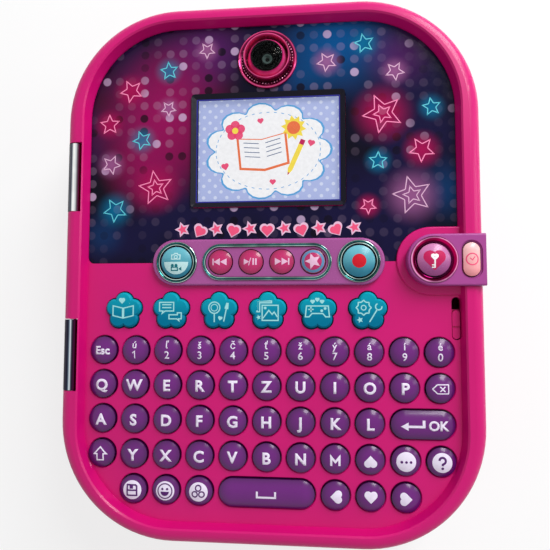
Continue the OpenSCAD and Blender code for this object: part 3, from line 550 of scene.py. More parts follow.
@dataclass(frozen=True)
class CircuitBoard:
    """Green board with copper tracks under its lacquer."""

    name: str = "circuit_board"
    lacquer: Colour = tint(18, 92, 52)
    track: Colour = tint(40, 132, 74)
    tracks: float = 260.0
    depth: float = -0.03 * MM

    def make(self) -> Material:
        """Builds the lacquered board."""
        recipe = Recipe(self.name)
        bricks = recipe.node("ShaderNodeTexBrick", offset=0.5)
        recipe.feed(bricks.inputs["Vector"], recipe.place)
        for socket, value in (("Scale", self.tracks), ("Mortar Size", 0.06), ("Color1", (*self.lacquer, 1)),
                              ("Color2", (*self.lacquer, 1)), ("Mortar", (*self.track, 1))):
            bricks.inputs[socket].default_value = value
        recipe.paint(bricks.outputs["Color"], recipe.drift(recipe.noise(500), 0.28, 0.45))
        recipe.bump(bricks.outputs["Fac"], self.depth)
        return recipe.material


@dataclass(frozen=True)
class PrintInk:
    """Screen-printed ink, a little uneven in its cover."""

    name: str
    ink: Ink
    glow: float = 0.0
    roughness: float = 0.42

    def make(self) -> Material:
        """Builds the ink, with a glow of its own where it has one: the screen's backlight under the window, a
        painted glow on the night plate's stars.
        """
        recipe = Recipe(self.name)
        cover = recipe.noise(700, 3)
        thin = tuple(0.82 * part for part in self.ink.value)
        shade = recipe.mix(recipe.span(cover, 0.35, 0.7, 0.0, 0.4), self.ink.value, thin)
        haze = recipe.drift(cover, self.roughness - 0.08, self.roughness + 0.1)
        if self.glow:
            recipe.light_up(shade, self.glow, haze)
        else:
            recipe.paint(shade, haze)
        recipe.fix({SPECULAR: 0.14})
        return recipe.material


@dataclass(frozen=True)
class Pane:
    """Clear or smoked pane: it lets light through and mirrors at a slant."""

    name: str
    through: Colour
    body: Colour
    cover: float = 0.0

    def make(self) -> Material:
        """Builds the pane, whose cover says how much of its own body shows."""
        recipe = Recipe(self.name)
        recipe.paint((*self.body, 1), 0.04)
        recipe.fix({SPECULAR: 0.3})
        clear = recipe.node("ShaderNodeBsdfTransparent")
        clear.inputs["Color"].default_value = (*self.through, 1)
        slant = recipe.node("ShaderNodeLayerWeight").outputs["Facing"]
        share = recipe.math("MULTIPLY", recipe.math("POWER", slant, 4.0), 0.8)
        recipe.blend(recipe.math("ADD", share, 0.03 + self.cover), clear.outputs[0], recipe.skin.outputs[0])
        return recipe.material


@dataclass(frozen=True)
class Glow:
    """Soft round light in the night print, in metres."""

    x: float
    y: float
    radius: float
    colour: Colour
    strength: float = 1.0


@dataclass(frozen=True)
class NightPrint:
    """Print of a night sky with coloured light and a grid of dots."""

    name: str = "night_print"
    navy: Colour = tint(20, 16, 54)
    black: Colour = tint(10, 8, 24)
    dot_pitch: float = 5.4 * MM
    dot_radius: float = 1.75 * MM
    pale_dot: Colour = tint(206, 176, 214)
    dark_dot: Colour = tint(12, 6, 20)
    pale_steps: tuple[Point, ...] = ((0.0, 0.0), (0.2, 0.05), (0.5, 0.11), (0.72, 0.0), (0.9, 0.62))
    dark_steps: tuple[Point, ...] = ((0.0, 0.0), (0.72, 0.85), (0.9, 0.0))

    def make(self, clouds: Sequence[Glow], halos: Sequence[Glow]) -> Material:
        """Builds the print.

        Args:
            clouds: Wide lights of the ground, laid under the dots.
            halos: Small lights round the stars, laid over the dots.

        Returns:
            The glossy print.
        """
        recipe = Recipe(self.name)
        flat = recipe.vector("MULTIPLY", recipe.place, (1, 1, 0)).outputs[0]
        colour = recipe.mix(recipe.span(recipe.noise(26, 2), 0.4, 0.62, 0, 1), self.navy, self.black)
        for cloud in clouds:
            colour = self._light(recipe, flat, colour, cloud)
        colour = self._dots(recipe, flat, colour)
        for halo in halos:
            colour = self._light(recipe, flat, colour, halo)
        recipe.paint(colour, recipe.drift(recipe.noise(400), 0.1, 0.2))
        recipe.fix({SPECULAR: 0.07})
        return recipe.material

    @staticmethod
    def _light(recipe: Recipe, flat: Socket, colour: Socket, light: Glow) -> Socket:
        """Adds one soft round light.

        Args:
            recipe: Tree that is being built.
            flat: Place on the plate.
            colour: What the print shows so far.
            light: The light to add.

        Returns:
            The colour with the light in it.
        """
        away = recipe.vector("DISTANCE", flat, (light.x, light.y, 0)).outputs["Value"]
        share = recipe.span(away, 0.0, light.radius, light.strength, 0.0, smooth=True)
        return recipe.mix(share, colour, light.colour)

    def _dots(self, recipe: Recipe, flat: Socket, colour: Socket) -> Socket:
        """Lays the grid of dots over the ground.

        Args:
            recipe: Tree that is being built.
            flat: Place on the plate.
            colour: The ground.

        Returns:
            The ground with pale, faint and dark dots.
        """
        cells = (1 / self.dot_pitch, 1 / self.dot_pitch, 0)
        scaled = recipe.vector("MULTIPLY", flat, cells).outputs[0]
        chance = recipe.node("ShaderNodeTexWhiteNoise", noise_dimensions="3D")
        recipe.feed(chance.inputs["Vector"], recipe.vector("FLOOR", scaled).outputs[0])
        away = recipe.from_cell(scaled)
        edge = self.dot_radius / self.dot_pitch
        disc = recipe.span(away, edge - 0.04, edge + 0.02, 1.0, 0.0)
        disc = recipe.math("MULTIPLY", disc, recipe.span(recipe.noise(22, 1), 0.4, 0.54, 0.35, 1.0))
        for steps, dot in ((self.pale_steps, self.pale_dot), (self.dark_steps, self.dark_dot)):
            share = recipe.steps(chance.outputs["Value"], steps)
            colour = recipe.mix(recipe.math("MULTIPLY", disc, share), colour, dot)
        return colour


@dataclass(frozen=True)
class LitPattern:
    """Ground of the lit picture, lavender with white dots in staggered rows."""

    name: str = "lit_ground"
    ground: Colour = tint(172, 184, 230)
    dot: Colour = tint(214, 222, 246)
    pitch: float = 3.4 * MM
    glow: float = 0.62

    def make(self) -> Material:
        """Builds the lit ground, which glows as a screen does."""
        recipe = Recipe(self.name)
        turned = recipe.node("ShaderNodeMapping")
        turned.inputs["Rotation"].default_value = (0, 0, math.radians(45))
        turned.inputs["Scale"].default_value = (1 / self.pitch, 1 / self.pitch, 0)
        recipe.feed(turned.inputs["Vector"], recipe.place)
        dots = recipe.span(recipe.from_cell(turned.outputs[0]), 0.18, 0.24, 0.85, 0.0)
        recipe.light_up(recipe.mix(dots, self.ground, self.dot), self.glow, 0.35)
        return recipe.material


def arc(centre: Point, radius: float, start: float, end: float, count: int) -> list[Point]:
    """Points along an arc.

    Args:
        centre: Middle of the arc.
        radius: Its radius.
        start: Angle of the first point in degrees.
        end: Angle of the last point in degrees.
        count: Number of points.

    Returns:
        The points from start to end.
    """
    turns = (math.radians(start + (end - start) * i / (count - 1)) for i in range(count))
    return [(centre[0] + radius * math.cos(turn), centre[1] + radius * math.sin(turn)) for turn in turns]


def shifted(points: Sequence[Point], centre: Point, turn: float = 0.0, scale: float = 1.0) -> list[Point]:
    """Moves an outline to its place.

    Args:
        points: Outline about its own middle.
        centre: Where its middle goes.
        turn: How far it is turned in degrees.
        scale: How much larger it gets.

    Returns:
        The points in their place.
    """
    cosine, sine = math.cos(math.radians(turn)) * scale, math.sin(math.radians(turn)) * scale
    return [(centre[0] + x * cosine - y * sine, centre[1] + x * sine + y * cosine) for x, y in points]


def mirrored(points: Sequence[Point]) -> list[Point]:
    """Outline with its left and right sides changed over."""
    return [(-x, y) for x, y in points]


def rectangle(half_w: float, half_h: float) -> list[Point]:
    """Corners of a rectangle about its middle."""
    return [(-half_w, -half_h), (half_w, -half_h), (half_w, half_h), (-half_w, half_h)]


def heart(size: float) -> list[Point]:
    """Heart with its tip at the foot, two half circles on a square that stands on its corner."""
    lobe = size / 4 * 1.08
    reach = lobe / math.sqrt(2)
    right = arc((reach, reach), lobe, -45, 135, 9)
    left = arc((-reach, reach), lobe, 45, 225, 9)
    return [(0.0, -2 * reach)] + right[:-1] + [(0.0, 2 * reach)] + left[1:]


def ribbon(points: Sequence[Point], width: float) -> list[Point]:
    """Outline of a drawn line of even width.

    Args:
        points: Corners of the line.
        width: Width of the line.

    Returns:
        The outline, mitred at its corners.
    """
    line = [Vector(point) for point in points]
    left, right = [], []
    for i, point in enumerate(line):
        ways = [(line[k + 1] - line[k]).normalized() for k in (i - 1, i) if 0 <= k < len(line) - 1]
        mean = (ways[0] + ways[-1]).normalized()
        side = Vector((-mean.y, mean.x)) * (width / 2 / max(0.35, mean.dot(ways[0])))
        left.append(tuple(point + side))
        right.append(tuple(point - side))
    return left + right[::-1]


class Bench:
    """Modelling steps that all the new pieces share, each done with an operator as by hand."""

    @staticmethod
    def hold(piece: Piece) -> None:
        """Selects one piece alone and makes it the active one."""
        bpy.ops.object.select_all(action="DESELECT")
        piece.select_set(True)
        bpy.context.view_layer.objects.active = piece

    @staticmethod
    @contextmanager
    def shaping(piece: Piece) -> Iterator[None]:
        """Keeps one piece in edit mode, with all of it selected to begin with."""
        Bench.hold(piece)
        bpy.ops.object.mode_set(mode="EDIT")
        bpy.ops.mesh.select_all(action="SELECT")
        yield
        bpy.ops.object.mode_set(mode="OBJECT")

    @staticmethod
    def settle(piece: Piece) -> Piece:
        """Puts a piece's place into its mesh, so that its object sits at the origin."""
        Bench.hold(piece)
        bpy.ops.object.transform_apply(location=True, rotation=True, scale=True)
        return piece

    @staticmethod
    def face_up(piece: Piece) -> Piece:
        """Turns a flat piece so that its faces look up."""
        if sum(face.normal.z * face.area for face in piece.data.polygons) < 0:
            with Bench.shaping(piece):
                bpy.ops.mesh.flip_normals()
        return piece

    @staticmethod
    def outline(points: Sequence[Point]) -> Piece:
        """Draws a flat face by extruding a vertex from point to point and filling the loop.

        Args:
            points: Corners in order.

        Returns:
            The flat piece, looking up.
        """
        bpy.ops.object.select_all(action="DESELECT")
        bpy.ops.mesh.primitive_plane_add(size=MM, location=(*points[0], 0))
        piece = bpy.context.active_object
        with Bench.shaping(piece):
            bpy.ops.mesh.merge(type="CENTER")
            for before, after in zip(points, points[1:]):
                step = (after[0] - before[0], after[1] - before[1], 0)
                bpy.ops.mesh.extrude_region_move(TRANSFORM_OT_translate={"value": step})
            mesh = bmesh.from_edit_mesh(piece.data)
            ends = [vertex for vertex in mesh.verts if len(vertex.link_edges) == 1]
            bpy.ops.mesh.select_all(action="DESELECT")
            for vertex in ends:
                vertex.select_set(True)
            bpy.ops.mesh.edge_face_add()
            bpy.ops.mesh.select_all(action="SELECT")
            bpy.ops.mesh.edge_face_add()
        return Bench.face_up(Bench.settle(piece))

    @staticmethod
    def disc(centre: Point, radius: float, corners: int) -> Piece:
        """Adds a flat filled circle."""
        bpy.ops.object.select_all(action="DESELECT")
        bpy.ops.mesh.primitive_circle_add(vertices=corners, radius=radius, fill_type="NGON",
                                          location=(*centre, 0))
        return Bench.face_up(Bench.settle(bpy.context.active_object))

    @staticmethod
    def star(centre: Point, radius: float, waist: float, turn: float, tips: int) -> Piece:
        """Makes a star from a circle whose every other vertex is drawn in.

        Args:
            centre: Middle of the star.
            radius: Distance of its tips.
            waist: Share of the radius that the inner corners keep.
            turn: How far it is turned in degrees.
            tips: Number of its tips.

        Returns:
            The flat filled star.
        """
        bpy.ops.object.select_all(action="DESELECT")
        bpy.ops.mesh.primitive_circle_add(vertices=2 * tips, radius=radius, fill_type="NGON",
                                          rotation=(0, 0, math.radians(turn)))
        piece = bpy.context.active_object
        with Bench.shaping(piece):
            bpy.ops.mesh.select_all(action="DESELECT")
            mesh = bmesh.from_edit_mesh(piece.data)
            mesh.verts.ensure_lookup_table()
            for vertex in list(mesh.verts)[1::2]:
                vertex.select_set(True)
            bpy.ops.transform.resize(value=(waist, waist, 1), center_override=(0, 0, 0))
        piece.location = (*centre, 0)
        return Bench.face_up(Bench.settle(piece))

    @staticmethod
    def soften(piece: Piece, radius: float, segments: int) -> Piece:
        """Rounds the corners of a flat piece."""
        with Bench.shaping(piece):
            bpy.ops.mesh.bevel(offset=radius, segments=segments, affect="VERTICES")
        return piece

    @staticmethod
    def hollow(piece: Piece, width: float) -> Piece:
        """Leaves only a rim of the given width of a flat piece."""
        with Bench.shaping(piece):
            bpy.ops.mesh.inset(thickness=width)
            bpy.ops.mesh.delete(type="FACE")
        return piece

    @staticmethod
    def enlarge(piece: Piece, centre: Point, factor: float) -> Piece:
        """Scales a flat piece about a point."""
        with Bench.shaping(piece):
            bpy.ops.transform.resize(value=(factor, factor, 1), center_override=(*centre, 0))
        return piece

    @staticmethod
    def join(pieces: Sequence[Piece], name: str) -> Piece:
        """Joins pieces into one."""
        Bench.hold(pieces[0])
        for piece in pieces[1:]:
            piece.select_set(True)
        if len(pieces) > 1:
            bpy.ops.object.join()
        piece = bpy.context.active_object
        piece.name = name
        piece.data.name = name
        return piece

    @staticmethod
    def modify(piece: Piece, kind: str, **settings: object) -> Piece:
        """Adds a modifier, sets it and applies it.

        Args:
            piece: Piece to change.
            kind: Blender's name of the modifier.
            **settings: Its options by name.

        Returns:
            The same piece.
        """
        Bench.hold(piece)
        bpy.ops.object.modifier_add(type=kind)
        modifier = piece.modifiers[-1]
        for key, value in settings.items():
            setattr(modifier, key, value)
        bpy.ops.object.modifier_apply(modifier=modifier.name)
        return piece

    @staticmethod
    def cut_grid(piece: Piece, cell: float) -> Piece:
        """Cuts a flat piece into a grid, so that it can follow a dome.

        Args:
            piece: Flat piece.
            cell: Distance of the cuts.

        Returns:
            The same piece with more vertices.
        """
        corners = [vertex.co.copy() for vertex in piece.data.vertices]
        with Bench.shaping(piece):
            for axis, normal in enumerate(((1, 0, 0), (0, 1, 0))):
                low = min(corner[axis] for corner in corners)
                high = max(corner[axis] for corner in corners)
                for i in range(1, math.ceil((high - low) / cell)):
                    point = [0.0, 0.0, 0.0]
                    point[axis] = low + i * cell
                    bpy.ops.mesh.select_all(action="SELECT")
                    bpy.ops.mesh.bisect(plane_co=point, plane_no=normal)
        return piece


class Lettering:
    """Generic bold capitals, figures and marks in Blender's own typeface."""

    def __init__(self, weight: float) -> None:
        """Measures the typeface once.

        Args:
            weight: How much the strokes are thickened, as a share of the size.
        """
        self.weight = weight
        probe = self._mesh("E", 1.0)
        self.cap_share = max(vertex.co.y for vertex in probe.data.vertices)
        bpy.ops.object.delete()

    def _mesh(self, text: str, size: float) -> Piece:
        """Makes a word a flat mesh that stands on the origin."""
        bpy.ops.object.select_all(action="DESELECT")
        bpy.ops.object.text_add()
        piece = bpy.context.active_object
        piece.data.body = text
        piece.data.size = size
        piece.data.offset = self.weight * size
        piece.data.align_x = "CENTER"
        piece.data.resolution_u = 4
        bpy.ops.object.convert(target="MESH")
        return piece

    def word(self, text: str, centre: Point, cap: float) -> Piece:
        """Sets a word so that its capitals are centred on a point.

        Args:
            text: The word.
            centre: Where the middle of its capitals goes.
            cap: Height of its capitals.

        Returns:
            The flat mesh.
        """
        piece = self._mesh(text, cap / self.cap_share)
        piece.location = (centre[0], centre[1] - cap / 2, 0)
        return Bench.face_up(Bench.settle(piece))


@dataclass(frozen=True, kw_only=True)
class Mark:
    """Flat shape of a sign, in millimetres about the sign's middle. A width leaves only its rim."""

    at: Point = (0.0, 0.0)
    turn: float = 0.0
    width: float = 0.0
    round_off: float = 0.0
    arcs: int = 2

    def shape(self, spot: Point) -> Piece:
        """Draws the whole shape about a point in metres. Each kind of mark has its own way."""
        raise NotImplementedError

    def draw(self, centre: Point) -> Piece:
        """Draws the mark in its place.

        Args:
            centre: Middle of the sign in metres.

        Returns:
            The flat piece, its corners rounded and its inside taken out where the mark says so.
        """
        piece = self.shape((centre[0] + self.at[0] * MM, centre[1] + self.at[1] * MM))
        if self.round_off:
            Bench.soften(piece, self.round_off * MM, self.arcs)
        return Bench.hollow(piece, self.width * MM) if self.width else piece


@dataclass(frozen=True)
class Face(Mark):
    """Filled outline."""

    points: Sequence[Point]

    def shape(self, spot: Point) -> Piece:
        """Draws the outline about a point."""
        return Bench.outline(shifted(self.points, spot, self.turn, MM))


@dataclass(frozen=True)
class Line(Mark):
    """Drawn line."""

    thick: float
    points: Sequence[Point]

    def shape(self, spot: Point) -> Piece:
        """Draws the line about a point."""
        return Bench.outline(ribbon(shifted(self.points, spot, self.turn, MM), self.thick * MM))


@dataclass(frozen=True)
class Disc(Mark):
    """Disc, or a ring where it has a width."""

    radius: float
    corners: int = 16

    def shape(self, spot: Point) -> Piece:
        """Draws the disc about a point."""
        return Bench.disc(spot, self.radius * MM, self.corners)


@dataclass(frozen=True)
class Heart(Mark):
    """Heart of the given size."""

    size: float

    def shape(self, spot: Point) -> Piece:
        """Draws the heart about a point."""
        return Bench.outline(shifted(heart(self.size * MM), spot, self.turn))


@dataclass(frozen=True)
class Star(Mark):
    """Star, upright with five tips unless it says otherwise."""

    radius: float
    waist: float
    tips: int = 5
    turn: float = field(default=18.0, kw_only=True)

    def shape(self, spot: Point) -> Piece:
        """Draws the star about a point."""
        return Bench.star(spot, self.radius * MM, self.waist, self.turn, self.tips)


@dataclass(frozen=True)
class Word(Mark):
    """Letters or figures, with capitals of the given height."""

    typeface: Lettering
    text: str
    cap: float

    def shape(self, spot: Point) -> Piece:
        """Sets the word about a point."""
        return self.typeface.word(self.text, spot, self.cap * MM)


@dataclass
class Print:
    """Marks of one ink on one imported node, laid on its surface with their real thickness."""

    name: str
    carrier: str
    body: str
    slot: str
    ink: Material
    marks: Sequence[Mark]
    layer: int = 1
    cell: float = 0.9 * MM
    centre: Point | None = None
    growth: float = 1.0
    step: float = 0.03 * MM
    thickness: float = 0.05 * MM
    weld: float = 0.002 * MM

    def lay(self, frame: dict) -> Piece:
        """Draws and joins the marks, drapes them over the carrier and thickens them.


        Returns:
            The finished print, riding on its body.
        """
        centre = self.centre or middle(self.carrier)
        pieces = [mark.draw(centre) for mark in self.marks]
        if self.growth != 1.0:
            pieces = [Bench.enlarge(piece, centre, self.growth) for piece in pieces]
        piece = Bench.join(pieces, self.name)
        with Bench.shaping(piece):
            bpy.ops.mesh.remove_doubles(threshold=self.weld)
        piece.location.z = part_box(self.carrier)[1].z + MM
        Bench.settle(piece)
        if self.cell:
            Bench.cut_grid(piece, self.cell)
        Bench.modify(piece, "SHRINKWRAP", wrap_method="PROJECT", use_project_z=True,
                     use_negative_direction=True, use_positive_direction=False,
                     target=frame["nodes"][self.carrier], offset=self.step * self.layer)
        Bench.face_up(piece)
        Bench.modify(piece, "SOLIDIFY", thickness=self.thickness, offset=-1.0)
        return Shop.deliver(piece, self.body, self.slot, self.ink)


class Shop:
    """Keeps the finishes and hands pieces over to the frame."""

    def __init__(self, frame: dict) -> None:
        self.frame = frame
        self.made: dict[str, Material] = {}

    def finish(self, recipe: Finish) -> Material:
        """Makes a finish once and keeps it by its name."""
        if recipe.name not in self.made:
            self.made[recipe.name] = recipe.make()
        return self.made[recipe.name]

    def ink(self, ink: Ink, glow: float = 0.0) -> Material:
        """Hands out the material of an ink, which glows where it has a glow: lit from behind on the screen, a
        painted glow elsewhere.
        """
        return self.finish(PrintInk(f"ink_{ink.name.lower()}" + ("_glowing" if glow else ""), ink, glow))

    def coat(self, name: str, material: Material, *nodes: str) -> None:
        """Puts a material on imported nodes.

        Args:
            name: Name of the finish.
            material: The material.
            *nodes: Names of the nodes.
        """
        for node in nodes:
            for holder in self.frame["nodes"][node].material_slots:
                holder.material = material
        LOG.info("%s on %s", name, ", ".join(nodes))

    def dress(self, recipe: Finish, *nodes: str) -> None:
        """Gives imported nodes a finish."""
        self.coat(recipe.name, self.finish(recipe), *nodes)

    def sign(self, node: str, name: str, slot: str, ink: Ink, marks: Sequence[Mark],
             **settings: object) -> None:
        """Prints a sign on a button or a key, which it moves with.

        Args:
            node: The button or the key.
            name: Name of the print.
            slot: Slot of the record, handed on to the print.
            ink: Its ink.
            marks: Its shapes.
            **settings: Other fields of the print.
        """
        Print(name, node, node, slot, self.ink(ink), marks, **settings).lay(self.frame)

    @staticmethod
    def deliver(piece: Piece, body: str, slot: str, material: Material) -> Piece:
        """Gives a finished piece its material and its body.

        Args:
            piece: The piece, at the origin.
            body: Body that it rides on.
            slot: Not used.
            material: What it is dressed in.

        Returns:
            The same piece.
        """
        piece.data.materials.clear()
        piece.data.materials.append(material)
        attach(piece, body)
        LOG.info("%s rides on %s, %d faces", piece.name, body, len(piece.data.polygons))
        return piece


def middle(node: str) -> Point:
    """Middle of a node in plan, from the frame."""
    low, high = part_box(node)
    return (low.x + high.x) / 2, (low.y + high.y) / 2


@dataclass
class Casing:
    """Housings, hinge, feet and what is fastened inside."""

    shop: Shop
    pink: Colour = tint(208, 10, 114)
    deep_pink: Colour = tint(172, 4, 92)
    # Painted reflection on the upper barrel: dark surroundings at the left, a white stripe, the pink wall at the
    # right
    upper_barrel: Stops = (
        (-82.4, tint(14, 10, 16)), (-81.2, tint(46, 46, 56)), (-80.7, tint(96, 98, 106)), (-80.2, tint(50, 52, 64)),
        (-79.9, tint(96, 100, 112)), (-79.5, tint(214, 218, 218)), (-79.1, tint(252, 252, 248)),
        (-78.3, tint(206, 212, 214)), (-77.8, tint(110, 96, 104)), (-77.4, tint(70, 18, 48)),
        (-76.8, tint(130, 12, 74)), (-76.0, tint(84, 4, 48)),
    )
    # Painted reflection on the lower barrel: darker, with a narrow bright stripe
    lower_barrel: Stops = (
        (-82.4, tint(14, 10, 16)), (-81.0, tint(26, 20, 34)), (-80.4, tint(52, 50, 66)), (-80.0, tint(22, 18, 30)),
        (-79.4, tint(56, 66, 84)), (-79.0, tint(150, 164, 176)), (-78.7, tint(226, 232, 234)),
        (-78.4, tint(96, 104, 118)), (-78.0, tint(34, 22, 38)), (-77.4, tint(64, 18, 50)), (-76.6, tint(96, 14, 62)),
        (-76.0, tint(40, 6, 28)),
    )

    def build(self) -> None:
        """Dresses the casing's nodes."""
        dress = self.shop.dress
        dress(MouldedPlastic("pink_shell", self.pink, self.deep_pink, roughness=0.3, specular=0.22),
              "rear_tray", "deck_housing", "deck_back", "battery_door", "latch_slider")
        dress(DullStuff("rubber", tint(44, 30, 42), tint(60, 44, 58)), "rubber_feet")
        dress(BarrelPlate("hinge_chrome", self.upper_barrel, roughness=0.1, dim=0.08, lower=self.lower_barrel),
              "hinge_barrels")
        dress(BareMetal("steel", tint(186, 186, 192)), "hinge_pins", "hinge_screws", "case_screws")
        dress(BareMetal("nickel", tint(214, 206, 190)), "battery_contacts")
        # Painted shade: the cells turn darker towards their feet
        dress(MouldedPlastic("cell_jacket", tint(40, 58, 92), tint(26, 38, 64), foot=22 * MM, head=35 * MM),
              "battery_cells")
        dress(CircuitBoard(), "main_board")
        dress(DullStuff("silicone", tint(206, 200, 196), tint(186, 182, 180)), "key_membrane")
        dress(BareMetal("speaker_metal", tint(96, 98, 104)), "speaker", "lock_solenoid")


@dataclass
class NightPlate:
    """Glossy plate round the screen, with its night print and its outlined stars, in millimetres."""

    shop: Shop
    line: float = 0.38
    waist: float = 0.46
    inner: float = 0.5
    halo_reach: float = 1.7
    pink_halo: Colour = tint(168, 12, 80)
    teal_halo: Colour = tint(0, 104, 146)
    lilac_halo: Colour = tint(150, 86, 138)
    garland_pitch: float = 6.9
    garland_y: float = 14.4
    garland_sway: float = 1.2
    garland_heart: float = 5.0
    garland_star: float = 4.0

    def clouds(self) -> list[Glow]:
        """Wide lights of the ground, magenta on the left and blue above and on the right."""
        magenta, plum, blue = tint(150, 12, 88), tint(90, 28, 100), tint(0, 76, 136)
        rows = (
            (-44, 60, 38, magenta, 0.85), (-50, 40, 22, magenta, 0.6), (-26, 90, 24, plum, 0.75),
            (-68, 14, 12, blue, 0.3), (28, 92, 30, blue, 0.9), (52, 84, 18, plum, 0.5),
            (14, 78, 16, blue, 0.4), (72, 30, 16, blue, 0.4), (-40, 78, 24, magenta, 0.4),
        )
        return [Glow(x * MM, y * MM, radius * MM, colour, strength) for x, y, radius, colour, strength in rows]

    def build(self) -> None:
        """Dresses the plate and lays its stars."""
        pink, teal, lilac = Ink.NEON_PINK, Ink.NEON_TEAL, Ink.NEON_LILAC
        stars = (
            (-63, 24, 5.4, 12, teal, False), (-46, 33, 7.6, -8, pink, True), (-65, 43, 4.4, 30, lilac, False),
            (-52, 53, 4.4, 4, teal, False), (-66, 60, 4.6, -16, pink, False), (-41, 66, 3.6, 20, lilac, False),
            (-57, 74, 5.2, 8, pink, False), (-41, 82, 4.2, -12, teal, False), (-25, 90, 3.8, 16, lilac, False),
            (24, 83, 4.4, 10, lilac, False), (39, 90, 4.4, -6, teal, False), (51, 78, 4.2, 24, lilac, False),
            (46, 61, 8.4, 6, pink, True), (65, 63, 4.0, -10, teal, False), (61, 46, 5.4, 14, pink, False),
            (44, 42, 4.0, -20, teal, False), (57, 28, 8.0, -4, lilac, True), (40, 24, 3.6, 18, pink, False),
        )
        lights = {pink: self.pink_halo, teal: self.teal_halo, lilac: self.lilac_halo}
        marks: dict[Ink, list[Mark]] = {ink: [] for ink in lights}
        halos = []
        for x, y, radius, turn, ink, double in stars:
            halos.append(Glow(x * MM, y * MM, radius * MM * self.halo_reach, lights[ink], 0.85))
            for size in (radius, radius * self.inner) if double else (radius,):
                marks[ink].append(Star(size, self.waist, at=(x, y), turn=18 + turn, width=self.line, round_off=0.18))
        self.shop.coat("night_print", NightPrint().make(self.clouds(), halos), "faceplate")
        for ink, outlines in marks.items():
            # Painted glow: the stars' inks give off part of their colour as light
            self.lay(f"{ink.name.lower()}_stars", self.shop.ink(ink, 0.15), outlines)
        self.lay_garland()

    def lay(self, name: str, ink: Material, marks: Sequence[Mark], layer: int = 1) -> None:
        """Prints marks on the plate.

        Args:
            name: Name of the print.
            ink: What it is printed with.
            marks: Its shapes, placed from the middle of the frame.
            layer: Which layer of ink it is.
        """
        Print(name, "faceplate", "deck", "night_print", ink, marks, layer=layer, cell=0,
              centre=(0.0, 0.0)).lay(self.shop.frame)

    def lay_garland(self) -> None:
        """Lays a garland of hearts and stars under the screen."""
        edges: list[Mark] = []
        fills: list[Mark] = []
        for i in range(-5, 6):
            x, y = i * self.garland_pitch, self.garland_y + self.garland_sway * (i % 2)
            if i % 2:
                edges.append(Star(self.garland_star * 0.82, 0.52, at=(x, y)))
                fills.append(Star(self.garland_star * 0.52, 0.48, at=(x, y)))
            else:
                edges.append(Heart(self.garland_heart * 1.32, at=(x, y + 0.12), turn=8 * i))
                fills.append(Heart(self.garland_heart, at=(x, y), turn=8 * i))
        self.lay("garland_edge", self.shop.ink(Ink.BLUSH), edges)
        self.lay("garland", self.shop.ink(Ink.ROSE), fills, layer=2)


